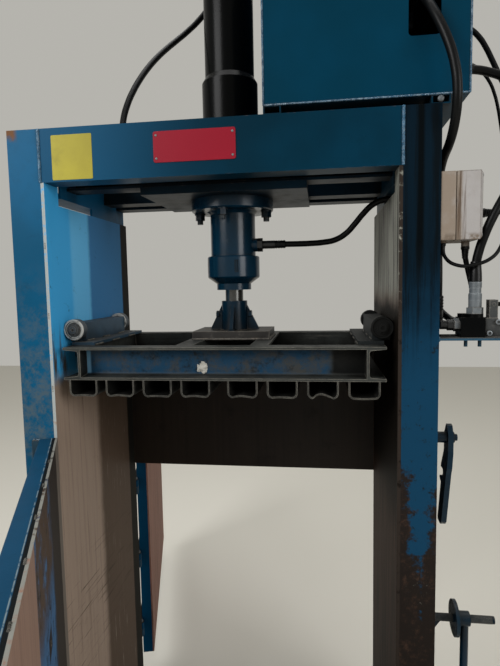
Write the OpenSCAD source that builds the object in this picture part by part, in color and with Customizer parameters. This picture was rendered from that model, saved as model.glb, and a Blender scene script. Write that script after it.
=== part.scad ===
// Vertical recycling baler: welded frame, hydraulic ram with a ribbed platen, two lower doors.

/* [Frame] */
// Overall width across the posts
frame_w = 1000; // [900:10:1200]
// Depth of the frame from the front to the back of the posts
frame_d = 520; // [500:10:640]
// Height of the posts and the head
frame_h = 1880; // [1800:10:2000]
// Side of the square posts
post_s = 80; // [70:1:90]
// Wall of the posts and sills
post_t = 5; // [3:1:8]
// Thickness of the side liners
liner_t = 8; // [4:1:12]
// Distance of the liners' top edge below the beams
liner_drop = 45; // [40:1:60]
// Thickness of the rear panel
panel_t = 6; // [4:1:10]
// Height of the rear panel's lower edge
panel_low = 887; // [850:1:950]
// Height of the rear panel's upper edge
panel_top = 1345; // [1200:5:1400]
// Height of the base sills
sill_h = 80; // [60:5:100]
// Thickness of the floor plate
floor_t = 6; // [4:1:10]
// Thickness of the bars between the strap grooves
floor_bar_t = 12; // [8:1:16]
// Width of a strap groove in the floor
groove_w = 40; // [30:1:50]
// Height of a side brace
brace_h = 50; // [40:5:60]
// Flange width of a side brace
brace_b = 38; // [30:1:45]

/* [Head] */
// Height of the head's cross beams
beam_h = 125; // [110:1:130]
// Flange width of the cross beams
beam_b = 58; // [50:1:64]
// Web thickness of the cross beams
beam_tw = 7; // [5:1:9]
// Flange thickness of the cross beams
beam_tf = 9; // [7:1:11]
// Distance between the inner webs that the cylinder passes
web_gap = 176; // [165:1:190]
// Height of the head's side rails
rail_h = 150; // [145:1:160]
// Length of the open slot under each rail
slot_len = 193; // [150:1:220]
// Depth of the liner's tab that reaches up to the front beam
tab_d = 67; // [40:1:80]

/* [Cylinder] */
// Outer diameter of the barrel
barrel_d = 124; // [118:1:128]
// Bore of the barrel
bore_d = 100; // [90:1:110]
// Width of the mounting plate
plate_w = 420; // [380:5:460]
// Depth of the mounting plate
plate_d = 310; // [260:5:340]
// Thickness of the mounting plate
plate_t = 20; // [15:1:30]
// Diameter of the round flange
flange_d = 226; // [220:1:240]
// Thickness of the round flange
flange_t = 30; // [20:1:40]
// Diameter of the bolt circle
bolt_pcd = 192; // [184:1:198]
// Diameter of the flange bolts
bolt_d = 16; // [12:1:18]
// Length of the barrel that shows under the flange
barrel_drop = 122; // [100:1:150]
// Diameter of the gland nut
gland_d = 145; // [138:1:155]
// Height of the gland nut's straight part
gland_h = 59; // [50:1:70]
// Diameter of the gland's neck
neck_d = 96; // [80:1:105]
// Diameter of the sleeve's wide foot above the plate
sleeve_foot_d = 151; // [145:1:165]
// Diameter of the sleeve above its foot
sleeve_d = 133; // [130:1:140]
// Height of the cylinder above the head
cylinder_rise = 560; // [550:5:620]
// Diameter of the piston rod
rod_d = 50; // [40:1:60]
// Length of rod that shows with the ram up
rod_show = 31; // [20:1:50]

/* [Platen] */
// Gap between the platen and each liner
platen_gap = 24; // [15:1:40]
// Set-back of the platen from the front plane
platen_set = 4; // [0:1:20]
// Depth of the platen
platen_d = 430; // [400:5:450]
// Height of the platen's channels
chan_h = 80; // [70:1:90]
// Flange width of the platen's channels
chan_b = 44; // [38:1:50]
// Web thickness of the platen's channels
chan_tw = 6; // [4:1:8]
// Flange thickness of the platen's channels
chan_tf = 8; // [6:1:10]
// Distance between the webs of the two middle channels
mid_gap = 142; // [120:2:160]
// Thickness of the block under the rod bracket
block_t = 22; // [15:1:30]
// Width of the block
block_w = 210; // [180:2:240]
// Depth of the block
block_d = 156; // [130:2:180]
// Height of the rod bracket
bracket_h = 80; // [70:1:95]
// Width of one strap rib
rib_w = 72; // [60:1:78]
// Depth of one strap rib
rib_h = 41; // [35:1:50]
// Wall of a strap rib
rib_t = 4; // [3:0.5:6]
// Distance between neighbouring ribs
rib_pitch = 94; // [90:1:96]
// Distance between the two ribs beside the middle
rib_mid = 114; // [100:1:116]

/* [Rollers] */
// Radius of a roller
roller_r = 27; // [22:0.5:28]
// Width of a roller
roller_w = 25; // [20:1:30]
// Diameter of a roller axle
axle_d = 20; // [16:1:24]
// Width of a roller bar
bar_w = 42; // [36:1:48]
// Height of a roller bar
bar_h = 48; // [40:1:56]
// Length of a roller bar
bar_len = 266; // [200:2:300]
// Thickness of the strip under a roller bar
strip_t = 8; // [5:1:10]
// Width of the strip under a roller bar
strip_w = 60; // [50:1:70]

/* [Doors] */
// Angle that the front door stands open
front_open = 65; // [0:1:160]
// Angle that the rear door stands open
rear_open = 105; // [0:1:160]
// Height of the front door's top edge
front_door_top = 1150; // [1000:5:1160]
// Height of both doors' lower edge
door_low = 112; // [105:1:130]
// Thickness of a door with its inner plate
door_t = 40; // [34:1:50]
// Thickness of a door's inner plate
door_plate_t = 5; // [3:1:8]
// Wall of a door's folded pan
pan_t = 3; // [2:1:5]
// Clearance between a closed door and the posts
door_gap = 2; // [1:1:4]
// Diameter of the hinge pins
hinge_pin_d = 12; // [8:1:14]

/* [Locks] */
// Distance of the hook lever's pivot below the front door's top edge
lever_drop = 15; // [10:1:50]
// Distance of the hook's notch from the pivot
hook_reach = 91; // [80:1:100]
// Length of the lever below its pivot
lever_len = 208; // [180:1:230]
// Height of the lock's stud
lock_z = 684; // [600:1:750]
// Diameter of the lock's stud
lock_rod_d = 18; // [14:1:20]
// Length of the lock's stud
lock_rod_len = 152; // [130:1:180]
// Diameter of the disc nut
lock_disc_d = 84; // [70:1:95]
// Length of the disc nut's handle below the bolt
handle_len = 150; // [120:5:200]

/* [Power unit] */
// Width of the power housing
housing_w = 442; // [420:2:460]
// Depth of the power housing
housing_d = 440; // [400:5:470]
// Height of the power housing
housing_h = 420; // [380:5:480]
// Radius of the motor inside the housing
motor_r = 85; // [70:1:90]
// Sheet thickness of the power housing
sheet_t = 3; // [2:1:4]
// Height of the rails that carry the housing
housing_rail_h = 20; // [18:1:30]
// Width of the hose opening in the housing
mouth_w = 67; // [60:1:80]
// Height of the hose opening
mouth_h = 128; // [110:1:140]

/* [Controls] */
// Depth of the junction box from the post outwards
box_out = 88; // [80:1:100]
// Height of the junction box
box_h = 146; // [130:1:160]
// Width of the junction box along the post's side
box_w = 110; // [90:1:120]
// Distance of the valve shelf below the top of the post
shelf_drop = 503; // [495:1:520]
// Length of the valve shelf
shelf_len = 200; // [190:5:240]
// Thickness of the valve shelf
shelf_t = 5; // [4:1:8]
// Height of the valve body
valve_h = 44; // [40:1:50]

/* [Hidden] */

// Faces of round work
$fn = 64;
// Small overlap that makes neighbouring bodies of one solid merge
eps = 0.01;
// Radial clearance of a running fit
run = 0.05;
// Play at the sides of a turning piece
play = 0.5;

// Planes and edges of the frame
x_out = frame_w / 2;
x_post = x_out - post_s;
x_in = x_post - liner_t;
y_front = -frame_d / 2;
y_rear = frame_d / 2;
y_post_f = y_front + post_s;
y_post_r = y_rear - post_s;
beam_low = frame_h - beam_h;
rail_low = frame_h - rail_h;
rail_b = 60;
rail_tw = 6;
rail_tf = 9;
root_r = 6;
liner_top = beam_low - liner_drop;
brace_low = [500, 1000, beam_low - 355];
brace_tw = 5;
brace_tf = 7;
hose_hole_r = 12;
hose_hole_y = y_post_f + 20;
hose_hole_z = frame_h - 80;

// Heights along the cylinder
plate_low = beam_low - plate_t;
flange_low = plate_low - flange_t;
gland_top = flange_low - barrel_drop;
gland_low = gland_top - gland_h;
taper_h = 16;
neck_h = 17;
neck_low = gland_low - taper_h - neck_h;
ease = 3;
small_ease = 2;
bolt_turn = 7;
bolt_play = 0.5;
bolt_tail = 29;
bolt_nut_h = 15;
washer_t = 3;
flange_weld = 8;
gland_slots = [15, 105, 195, 285];
slot_wide = 10;
slot_deep = 4;
slot_above = 14;
slot_below = 12;
cylinder_top = frame_h + cylinder_rise;
cap_h = 40;
cap_ease = 6;
cap_port_z = cylinder_top - cap_h / 2;
cap_port_r = sleeve_d / 2 + 12;
cap_port_turn = 120;
barrel_end = cylinder_top - cap_h;
barrel_start = gland_low + 20;
foot_top = frame_h + 165;
foot_step = 15;
boss_r = 18;
cap_boss_r = 16;
boss_out = 8;
rod_port_y = -10;
rod_port_z = gland_top + 30;
piston_h = 60;
piston_low = barrel_end - 80;
collar_top = neck_low - rod_show;
bracket_low = collar_top - bracket_h;
collar_d = 72;
cross_z = collar_top - 38;
cross_r = 6;
cross_nut = 18;
cross_reach = collar_d / 2 + 4;
gusset_t = 10;
gusset_root = 20;
gusset_reach = 67;
gusset_foot = 6;
gusset_low = 12;
block_low = bracket_low - block_t;
rod_low = bracket_low + 20;

// Heights and edges of the platen
platen_top = block_low;
platen_low = platen_top - chan_h;
y_platen = y_front + platen_set;
y_platen_r = y_platen + platen_d;
x_toe = x_in - platen_gap;
x_web = x_toe - chan_b + chan_tw;
// Upward bend of each rib's floor, left to right
rib_bend = [1, 2, 1, 2, 3, 1, 9, -1];
rib_corner = 13;

// Rollers and bars
strip_front = 50;
strip_rear = 30;
web_plate_t = 5;
web_plate_lift = 2;
roller_gap = 0.3;
roller_x = x_in - roller_gap - roller_r;
strip_top = platen_top + strip_t;
roller_lift = 4;
roller_z = strip_top + roller_lift + roller_r;
bar_front = y_platen + 80;
bar_rear = bar_front + bar_len;
bar_wall = 4;
axle_in_bar = 30;
clip_t = 2;
clip_out = 4;
axle_tip = 3;
centre_hole_r = 4;
roller_ease = 2;
roller_rim = 5;
roller_recess = 3;
roller_hub = axle_d / 2 + 6;

// Front door in its own frame: the hinge axis is the origin and the door lies along +X when closed
front_hinge_x = -x_post - 13;
front_hinge_y = y_front - 45;
front_near = 30;
front_far = x_out - 4 - front_hinge_x;
front_inner = -front_hinge_y + y_front - door_gap;
front_hinges = [240, 640, 1080];
knuckle_r = 12;
knuckle_h = 26;
knuckle_web = 12;
leaf_in = 9;
leaf_out = 43;
leaf_t = 8;
leaf_low = 38;
leaf_high = 46;
strap_len = 150;
strap_t = 10;
pin_head_h = 4;
pin_head_r = hinge_pin_d / 2 + 3;
catch_d = 16;
catch_len = 52;

// Rear door in its own frame
rear_hinge_x = -x_post - 13;
rear_hinge_y = y_rear + 45;
rear_near = 30;
rear_far = x_out - rear_hinge_x;
rear_inner = y_rear + door_gap - rear_hinge_y;
rear_door_top = panel_low - 7;
rear_hinges = [230, 500, 780];
rear_knuckle_r = 12;
rear_leaf_low = 34;
rear_leaf_high = 30;
rear_knuckle_web = 10;

// Locks on the right post
lever_z = front_door_top - lever_drop;
catch_in = 20;
lever_y = front_hinge_y + catch_in + hook_reach;
lever_x = x_out + 34;
lever_t = 12;
lever_crank = 14;
stub_d = 16;
stub_collar = 5;
stub_tip = 12;
notch_in = 18;
notch_play = 0.6;
notch_r = catch_d / 2 + notch_play;
lock_y = lever_y;
nut_x = x_out + 56;
nut_t = 8;
nut_len = 30;
handle_r = 9.5;
boss_nut_r = 17;
lug_x = nut_x - 16;
lug_t = 8;
lug_plate_t = 12;
lug_half = 38;
lug_past = 22;
stud_gusset = [26, 38];
stud_gusset_t = 8;

// Power unit
housing_x = 116;
housing_y = y_front + 5;
housing_z = frame_h + housing_rail_h;
housing_far = housing_x + housing_w;
mouth_edge = 62;
mouth_rise = 122;
mouth_x = housing_far - mouth_w - mouth_edge;
mouth_z = housing_z + mouth_rise;
mouth_r = 9;
housing_rail_w = 40;
housing_rail_t = 3;
motor_head_room = 20;
motor_lift = 12;
motor_in = 10;
motor_len = 190;
bell_len = 40;
bell_r = 60;
pump_len = 90;
pump_half = 45;
tank_in = [20, 30];
tank_room = 142;
tank_x = housing_x + tank_in[0];
tank_y = housing_y + tank_in[1];
tank_w = housing_w - tank_in[0] - tank_room;
tank_d = housing_d - 2 * tank_in[1];
motor_z = housing_z + housing_h - sheet_t - motor_head_room - motor_r;
tank_top = motor_z - motor_r - motor_lift;
motor_x = tank_x + motor_in;
motor_y = tank_y + tank_d / 2;
pump_x = motor_x + motor_len + bell_len;
foot_w = 30;
foot_half = 70;
outlet_r = 11;
outlet_in = 23;
outlet_back = 105;
outlet_rise = 20;
outlet = [mouth_x + outlet_in, housing_y + outlet_back, tank_top + outlet_rise];

// Controls
box_z = frame_h - 288;
box_y = y_front + 2;
box_base_t = 31;
box_seam = 2;
box_lip = 4;
box_ease = 6;
lid_x = x_out + box_base_t + box_seam;
box_far = x_out + box_out;
gland_r = 9;
base_gland = [x_out + 14, y_front + 45];
lid_gland = [x_out + 67, y_front + 60];
side_gland = [y_front + 60, box_z + 62];
shelf_z = frame_h - shelf_drop;
shelf_d = 100;
shelf_bolt_r = 4;
valve_x = x_out + 51;
valve_w = 52;
valve_y = y_front + 20;
valve_d = 50;
valve_far = valve_x + valve_w;
valve_back = valve_y + valve_d;
valve_top = shelf_z + valve_h;
plug_h = 8;
cover_w = 36;
cover_h = 43;
cover_cut = [10, 30];
screw_r = 5;
ear_half = 9;
ear_out = 12;
lever_half = 6;
pivot_r = 4;
port_z = shelf_z + 27;
port_y = valve_y + 20;
top_port_x = valve_x + 34;
back_ports = [valve_x + 14, valve_x + 39];
back_end = valve_back + 40;
side_elbow = [x_out + 20, valve_back + 40];
side_end = port_z + 36;
switch_port = [valve_x + 43, valve_back - 6, valve_top + 3];
valve_pivot_x = valve_far + 18;
valve_pivot_z = shelf_z + 73;
valve_pivot_y = valve_y + 18;
knob_r = 16;
hand_len = 150;
hand_r = 5;

// Fittings
fit_r = 11;
rod_nut_x = barrel_d / 2 + boss_out;
rod_nut_t = 14;
rod_nut_w = 32;
rod_fit_len = 34;
elbow_r = 12;
elbow_out = 26;
crimp_top = 23;
crimp_r = 14;
port_nut = 26;
port_nut_2 = 22;
gland_out = 16;
return_gland = [-100, housing_z + 104];
motor_gland = [60, housing_z + 284];
limit_gland = [-50, housing_z + 142];

// Routes of the hoses and cables from fitting to fitting, drawn for a frame of this height and raised with it
drawn_h = 1880;
function raised(points) = [for (p = points) p + [0, 0, frame_h - drawn_h]];
cap_route = raised([[-49, 85, 2385], [-49, 85, 2350], [-66, 76, 2296], [-119, 55, 2228], [-176, -8, 2148],
    [-214, -72, 2068], [-240, -136, 1970], [-242, -178, 1880], [-206, -214, 1800], [-137, -228, 1773],
    [60, -226, 1773], [250, -224, 1773], [330, -204, 1783], [376, -181, 1794], [415, -160, 1800],
    [448, -144, 1790], [484, -118, 1748], [508, -84, 1666], [517, -62, 1560], [524, -52, 1469],
    [555, -92, 1415], [565, -136, 1404], [565, -150, 1404]]);
rod_route = raised([[118, -10, 1613], [146, -10, 1613], [252, 1, 1616], [303, 1, 1632], [339, -8, 1668],
    [374, -19, 1705], [402, -27, 1718], [428, -31, 1719], [458, -35, 1707], [489, -34, 1672],
    [501, -26, 1609], [512, -13, 1506], [531, -17, 1446], [576, -67, 1404], [590, -134, 1404],
    [590, -150, 1404]]);
pressure_route = raised([[452, -150, 2135], [452, -182, 2135], [459, -236, 2113], [476, -278, 2058],
    [500, -298, 1990], [516, -302, 1926], [521, -292, 1861], [521, -249, 1809], [521, -196, 1788],
    [522, -148, 1761], [524, -116, 1706], [526, -106, 1632], [523, -134, 1546], [520, -150, 1456],
    [520, -150, 1440]]);
return_route = raised([[585, -220, 1466], [585, -220, 1500], [586, -221, 1546], [610, -232, 1630],
    [636, -230, 1680], [671, -206, 1752], [711, -136, 1890], [699, -115, 1950], [660, -103, 1986],
    [598, -100, 2004], [574, -100, 2004]]);
motor_route = raised([[602, -200, 1654], [626, -200, 1654], [672, -188, 1672], [710, -154, 1734],
    [732, -100, 1822], [734, -40, 1908], [702, 46, 2055], [646, 60, 2161], [590, 60, 2184],
    [574, 60, 2184]]);
limit_route = raised([[514, -215, 1588], [514, -215, 1574], [534, -226, 1541], [610, -244, 1551],
    [646, -214, 1605], [678, -170, 1678], [690, -112, 1763], [686, -66, 1845], [652, -50, 1998],
    [592, -50, 2042], [574, -50, 2042]]);
switch_route = raised([[567, -200, 1580], [567, -200, 1562], [577, -195, 1520], [594, -196, 1440],
    [594, -196, 1424]]);
hose_r = 8;
thick_hose_r = 10;
motor_cable_r = 7;
thin_cable_r = 4;
switch_cable_r = 6;

// Helpers
function arc_points(cx, cy, r, a0, a1, n) =
    [for (i = [0 : n]) [cx + r * cos(a0 + (a1 - a0) * i / n), cy + r * sin(a0 + (a1 - a0) * i / n)]];

module box(lo, hi) {
    translate(lo) cube([hi[0] - lo[0], hi[1] - lo[1], hi[2] - lo[2]]);
}

module bar_x(x0, x1, y, z, r) {
    translate([x0, y, z]) rotate([0, 90, 0]) cylinder(h = x1 - x0, r = r);
}

module bar_y(x, y0, y1, z, r) {
    translate([x, y1, z]) rotate([90, 0, 0]) cylinder(h = y1 - y0, r = r);
}

module bar_z(x, y, z0, z1, r) {
    translate([x, y, z0]) cylinder(h = z1 - z0, r = r);
}

module hex_x(x0, x1, y, z, across) {
    translate([x0, y, z]) rotate([0, 90, 0]) cylinder(h = x1 - x0, d = across / cos(30), $fn = 6);
}

module hex_z(x, y, z0, z1, across) {
    translate([x, y, z0]) cylinder(h = z1 - z0, d = across / cos(30), $fn = 6);
}

// Rolled channel in its own plane: web on the Y axis, tapered flanges along +X, rounded roots
module channel_shape(h, b, tw, tf) {
    root = tf + 1;
    toe = tf - 2;
    polygon(concat(
        [[0, 0], [b, 0], [b, toe]],
        arc_points(tw + root_r, root + root_r, root_r, 270, 180, 5),
        arc_points(tw + root_r, h - root - root_r, root_r, 180, 90, 5),
        [[b, h - toe], [b, h], [0, h]]));
}

// Channel along X with its web at y and its toes towards dir
module channel_x(x0, x1, y, z, dir, h, b, tw, tf) {
    translate([x0, y, z])
        mirror([0, dir < 0 ? 1 : 0, 0])
            rotate([90, 0, 90]) linear_extrude(x1 - x0) channel_shape(h, b, tw, tf);
}

// Channel along Y with its web at x and its toes towards dir
module channel_y(x, y0, y1, z, dir, h, b, tw, tf) {
    translate([x, y1, z])
        mirror([dir < 0 ? 1 : 0, 0, 0])
            rotate([90, 0, 0]) linear_extrude(y1 - y0) channel_shape(h, b, tw, tf);
}

module both_sides() {
    children();
    mirror([1, 0, 0]) children();
}

// Square tube standing on the base with a closed top
module post(x, y) {
    difference() {
        box([x, y, 0], [x + post_s, y + post_s, frame_h]);
        box([x + post_t, y + post_t, -1], [x + post_s - post_t, y + post_s - post_t, frame_h - post_t]);
    }
}

module front_posts() color("steelblue") both_sides() post(x_post, y_front);

module rear_posts() color("steelblue") both_sides() post(x_post, y_post_r);

module head_front_beam() color("steelblue")
    channel_x(-x_post, x_post, y_front, beam_low, 1, beam_h, beam_b, beam_tw, beam_tf);

// The two beams beside the cylinder and the rear beam
module head_inner_beams() color("steelblue") {
    channel_x(-x_in, x_in, -web_gap / 2, beam_low, -1, beam_h, beam_b, beam_tw, beam_tf);
    channel_x(-x_in, x_in, web_gap / 2, beam_low, 1, beam_h, beam_b, beam_tw, beam_tf);
    channel_x(-x_post, x_post, y_rear, beam_low, -1, beam_h, beam_b, beam_tw, beam_tf);
}

// Side rails with the plate that closes the rear of each slot, and the hose hole in the right rail
module head_rails() color("steelblue") {
    both_sides() box([x_in, y_front + tab_d + slot_len, liner_top], [x_in + rail_tw, y_post_r, rail_low]);
    channel_y(-x_in, y_post_f, y_post_r, rail_low, -1, rail_h, rail_b, rail_tw, rail_tf);
    difference() {
        channel_y(x_in, y_post_f, y_post_r, rail_low, 1, rail_h, rail_b, rail_tw, rail_tf);
        bar_x(x_in - 1, x_in + rail_tw + 1, hose_hole_y, hose_hole_z, hose_hole_r);
    }
}

module side_liners() color("lightslategray") both_sides() {
    box([x_in, y_front, sill_h], [x_post, y_rear, liner_top]);
    box([x_in, y_front, liner_top - eps], [x_post, y_front + tab_d, beam_low]);
}

module rear_panel() color("saddlebrown")
    box([-x_in, y_rear - panel_t, panel_low], [x_in, y_rear, panel_top]);

module side_braces() color("steelblue") both_sides()
    for (z = brace_low)
        channel_y(x_post, y_post_f, y_post_r, z, 1, brace_h, brace_b, brace_tw, brace_tf);

module sill_x(y) {
    difference() {
        box([-x_post, y, 0], [x_post, y + post_s, sill_h]);
        box([-x_post - 1, y + post_t, post_t], [x_post + 1, y + post_s - post_t, sill_h - post_t]);
    }
}

module sill_y(x) {
    difference() {
        box([x, y_post_f, 0], [x + post_s, y_post_r, sill_h]);
        box([x + post_t, y_post_f - 1, post_t], [x + post_s - post_t, y_post_r + 1, sill_h - post_t]);
    }
}

module base_sills() color("steelblue") {
    sill_x(y_front);
    sill_x(-post_s / 2);
    sill_x(y_post_r);
    both_sides() sill_y(x_post);
}

// Middle of each strap rib and of the groove below it, counted from the left
function rib_x(i) = (i < 4) ? -(rib_mid / 2 + (3 - i) * rib_pitch) : rib_mid / 2 + (i - 4) * rib_pitch;

module chamber_floor() color("slategray") {
    top = sill_h + floor_t;
    edges = concat([-x_in], [for (i = [0 : 7]) rib_x(i) + groove_w / 2]);
    ends = concat([for (i = [0 : 7]) rib_x(i) - groove_w / 2], [x_in]);
    box([-x_in, y_front, sill_h], [x_in, y_rear, top]);
    for (i = [0 : 8])
        box([edges[i], y_front, top - eps], [ends[i], y_rear, top + floor_bar_t]);
}

// Cylinder
module at_bolts() {
    for (i = [0 : 3]) rotate(i * 90 - bolt_turn) translate([bolt_pcd / 2, 0, 0]) children();
}

module cylinder_plate() color("steelblue") difference() {
    box([-plate_w / 2, -plate_d / 2, plate_low], [plate_w / 2, plate_d / 2, beam_low]);
    bar_z(0, 0, plate_low - 1, beam_low + 1, barrel_d / 2);
    at_bolts() bar_z(0, 0, plate_low - 1, beam_low + 1, bolt_d / 2 + bolt_play);
}

module cylinder_flange() color("royalblue") difference() {
    rotate_extrude($fn = 96) polygon([[barrel_d / 2, flange_low - flange_weld],
        [barrel_d / 2 + flange_weld, flange_low], [flange_d / 2 - ease, flange_low],
        [flange_d / 2, flange_low + ease], [flange_d / 2, plate_low], [barrel_d / 2, plate_low]]);
    at_bolts() bar_z(0, 0, flange_low - 1, plate_low + 1, bolt_d / 2 + bolt_play);
}

module flange_bolts() color("dimgray") at_bolts() {
    bar_z(0, 0, flange_low - bolt_tail, beam_low, bolt_d / 2);
    hex_z(0, 0, flange_low - washer_t - bolt_nut_h, flange_low - washer_t, bolt_d * 1.5);
    bar_z(0, 0, flange_low - washer_t - eps, flange_low, bolt_d * 0.95);
}

module cylinder_barrel() color("royalblue") difference() {
    union() {
        bar_z(0, 0, barrel_start, barrel_end, barrel_d / 2);
        bar_x(barrel_d / 2 - boss_out, rod_nut_x, rod_port_y, rod_port_z, boss_r);
    }
    bar_z(0, 0, barrel_start - 1, barrel_end + 1, bore_d / 2);
}

// Gland nut with a taper, a neck and four spanner slots
module cylinder_gland() color("royalblue") difference() {
    rotate_extrude($fn = 96) polygon([[rod_d / 2 + run, neck_low], [neck_d / 2, neck_low],
        [neck_d / 2, neck_low + neck_h], [gland_d / 2 - small_ease, gland_low], [gland_d / 2, gland_low + ease],
        [gland_d / 2, gland_top - ease], [gland_d / 2 - small_ease, gland_top], [barrel_d / 2, gland_top],
        [barrel_d / 2, barrel_start], [rod_d / 2 + run, barrel_start]]);
    for (a = gland_slots)
        rotate(a) box([gland_d / 2 - slot_deep, -slot_wide / 2, gland_low + slot_above],
            [gland_d / 2 + slot_deep, slot_wide / 2, gland_top - slot_below]);
}

module cylinder_sleeve() color("black") rotate_extrude($fn = 96) polygon([[barrel_d / 2, beam_low],
    [sleeve_foot_d / 2, beam_low], [sleeve_foot_d / 2, foot_top], [sleeve_d / 2, foot_top + foot_step],
    [sleeve_d / 2, barrel_end], [barrel_d / 2, barrel_end]]);

// End cap with the port boss at its back
module cylinder_cap() color("black") {
    rotate_extrude($fn = 96) polygon([[0, barrel_end], [sleeve_d / 2, barrel_end],
        [sleeve_d / 2, cylinder_top - cap_ease], [sleeve_d / 2 - cap_ease, cylinder_top], [0, cylinder_top]]);
    rotate(cap_port_turn) bar_x(sleeve_d / 2 - cap_ease, cap_port_r, 0, cap_port_z, cap_boss_r);
}

// Piston and rod as one turned piece
module piston_rod() color("silver") difference() {
    union() {
        bar_z(0, 0, rod_low, piston_low, rod_d / 2);
        bar_z(0, 0, piston_low - eps, piston_low + piston_h, bore_d / 2 - run);
    }
    bar_x(-rod_d, rod_d, 0, cross_z, cross_r);
}

// Collar with four gussets, and the cross bolt that holds the rod
module rod_bracket() color("royalblue") {
    difference() {
        union() {
            bar_z(0, 0, bracket_low, collar_top, collar_d / 2);
            for (a = [0 : 90 : 270])
                rotate([90, 0, a]) translate([0, 0, -gusset_t / 2]) linear_extrude(gusset_t)
                    polygon([[gusset_root, bracket_low], [gusset_reach, bracket_low],
                        [gusset_reach, bracket_low + gusset_foot], [collar_d / 2, collar_top - gusset_low],
                        [gusset_root, collar_top - gusset_low]]);
        }
        bar_z(0, 0, rod_low, collar_top + 1, rod_d / 2);
        bar_x(-collar_d, collar_d, 0, cross_z, cross_r);
    }
    bar_x(-cross_reach - 4, cross_reach, 0, cross_z, cross_r);
    hex_x(-cross_reach - 12, -cross_reach - 4, 0, cross_z, cross_nut);
    hex_x(cross_reach, cross_reach + 9, 0, cross_z, cross_nut);
}

module platen_block() color("gray")
    box([-block_w / 2, -block_d / 2, block_low], [block_w / 2, block_d / 2, bracket_low]);

// Outer channels with their toes outwards and two middle channels, welded into one frame
module platen_channels() color("slategray") {
    y0 = y_platen + chan_b;
    y1 = y_platen_r - chan_b;
    both_sides()
        channel_y(x_web - chan_tw, y_platen, y_platen_r, platen_low, 1, chan_h, chan_b, chan_tw, chan_tf);
    x_mid = x_web - chan_tw;
    channel_x(-x_mid, x_mid, y0, platen_low, -1, chan_h, chan_b, chan_tw, chan_tf);
    channel_x(-x_mid, x_mid, y1, platen_low, 1, chan_h, chan_b, chan_tw, chan_tf);
    both_sides() channel_y(mid_gap / 2, y0, y1, platen_low, 1, chan_h, chan_b, chan_tw, chan_tf);
}

module platen_plate() color("dimgray") {
    y0 = y_platen + chan_b;
    y1 = y_platen_r - chan_b;
    low = platen_low + chan_tf + web_plate_lift;
    both_sides() box([mid_gap / 2 + chan_tw + root_r + 1, y0, low], [x_web - chan_tw, y1, low + web_plate_t]);
    box([-mid_gap / 2, y0, platen_low], [mid_gap / 2, y1, platen_low + web_plate_t]);
}

// Half outline of a strap rib: down one side, along the bent floor and up the other
function rib_line(half, h, r, bend) = concat(
    [[-half, 0]],
    arc_points(-half + r, -h + r, r, 180, 260, 5),
    [for (i = [-4 : 4]) let (u = i / 4) [u * (half - r), -h + bend * (1 - u * u) * (1 - 0.5 * u)]],
    arc_points(half - r, -h + r, r, 280, 360, 5),
    [[half, 0]]);

function backwards(list) = [for (i = [len(list) - 1 : -1 : 0]) list[i]];

module platen_ribs() color("gray")
    for (i = [0 : 7])
        translate([rib_x(i), y_platen_r, platen_low]) rotate([90, 0, 0]) linear_extrude(platen_d)
            polygon(concat(rib_line(rib_w / 2, rib_h, rib_corner, rib_bend[i]),
                backwards(rib_line(rib_w / 2 - rib_t, rib_h - rib_t, rib_corner - rib_t, rib_bend[i]))));

// Roller bars: a square tube with end plugs on a flat strip
module roller_bars() color("steelblue") both_sides() {
    box([x_toe - strip_w, y_platen + strip_front, platen_top], [x_toe, y_platen_r - strip_rear, strip_top]);
    difference() {
        box([roller_x - bar_w / 2, bar_front, strip_top - eps],
            [roller_x + bar_w / 2, bar_rear, strip_top + bar_h]);
        box([roller_x - bar_w / 2 + bar_wall, bar_front + axle_in_bar, strip_top + bar_wall],
            [roller_x + bar_w / 2 - bar_wall, bar_rear - axle_in_bar, strip_top + bar_h - bar_wall]);
        bar_y(roller_x, bar_front - 1, bar_front + axle_in_bar + 1, roller_z, axle_d / 2);
        bar_y(roller_x, bar_rear - axle_in_bar - 1, bar_rear + 1, roller_z, axle_d / 2);
    }
}

// Stub axle with a washer face and a circlip, pointing towards -Y from y
module axle(x, y) {
    end = y - roller_w - 2 * play;
    difference() {
        bar_y(x, end - clip_t - axle_tip, y + axle_in_bar, roller_z, axle_d / 2);
        bar_y(x, end - clip_t - axle_tip - 1, end - clip_t, roller_z, centre_hole_r);
    }
    difference() {
        bar_y(x, end - clip_t, end, roller_z, axle_d / 2 + clip_out);
        bar_y(x, end - clip_t - 1, end + 1, roller_z, axle_d / 2 - eps);
        box([x - 3, end - clip_t - 1, roller_z - axle_d], [x + 3, end + 1, roller_z - axle_d / 2 + 0.5]);
    }
}

module roller_axles() color("silver") both_sides() {
    axle(roller_x, bar_front);
    translate([0, bar_front + bar_rear, 0]) mirror([0, 1, 0]) axle(roller_x, bar_front);
}

// Roller with a recessed face, turned about the Y axis, from y towards -Y
module roller(x, y) color("dimgray") {
    r = roller_r;
    w = roller_w;
    e = roller_ease;
    translate([x, y - play, roller_z]) rotate([90, 0, 0]) rotate_extrude($fn = 96)
        polygon([[axle_d / 2 + run, 0], [r - e, 0], [r, e], [r, w - e], [r - e, w], [r - roller_rim, w],
            [r - roller_rim - 1, w - roller_recess], [roller_hub, w - roller_recess], [roller_hub, w],
            [axle_d / 2 + run, w]]);
}

module rear_roller(x)
    translate([0, bar_front + bar_rear, 0]) mirror([0, 1, 0]) roller(x, bar_front);

module roller_front_left() roller(-roller_x, bar_front);
module roller_front_right() roller(roller_x, bar_front);
module roller_rear_left() rear_roller(-roller_x);
module roller_rear_right() rear_roller(roller_x);

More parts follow.
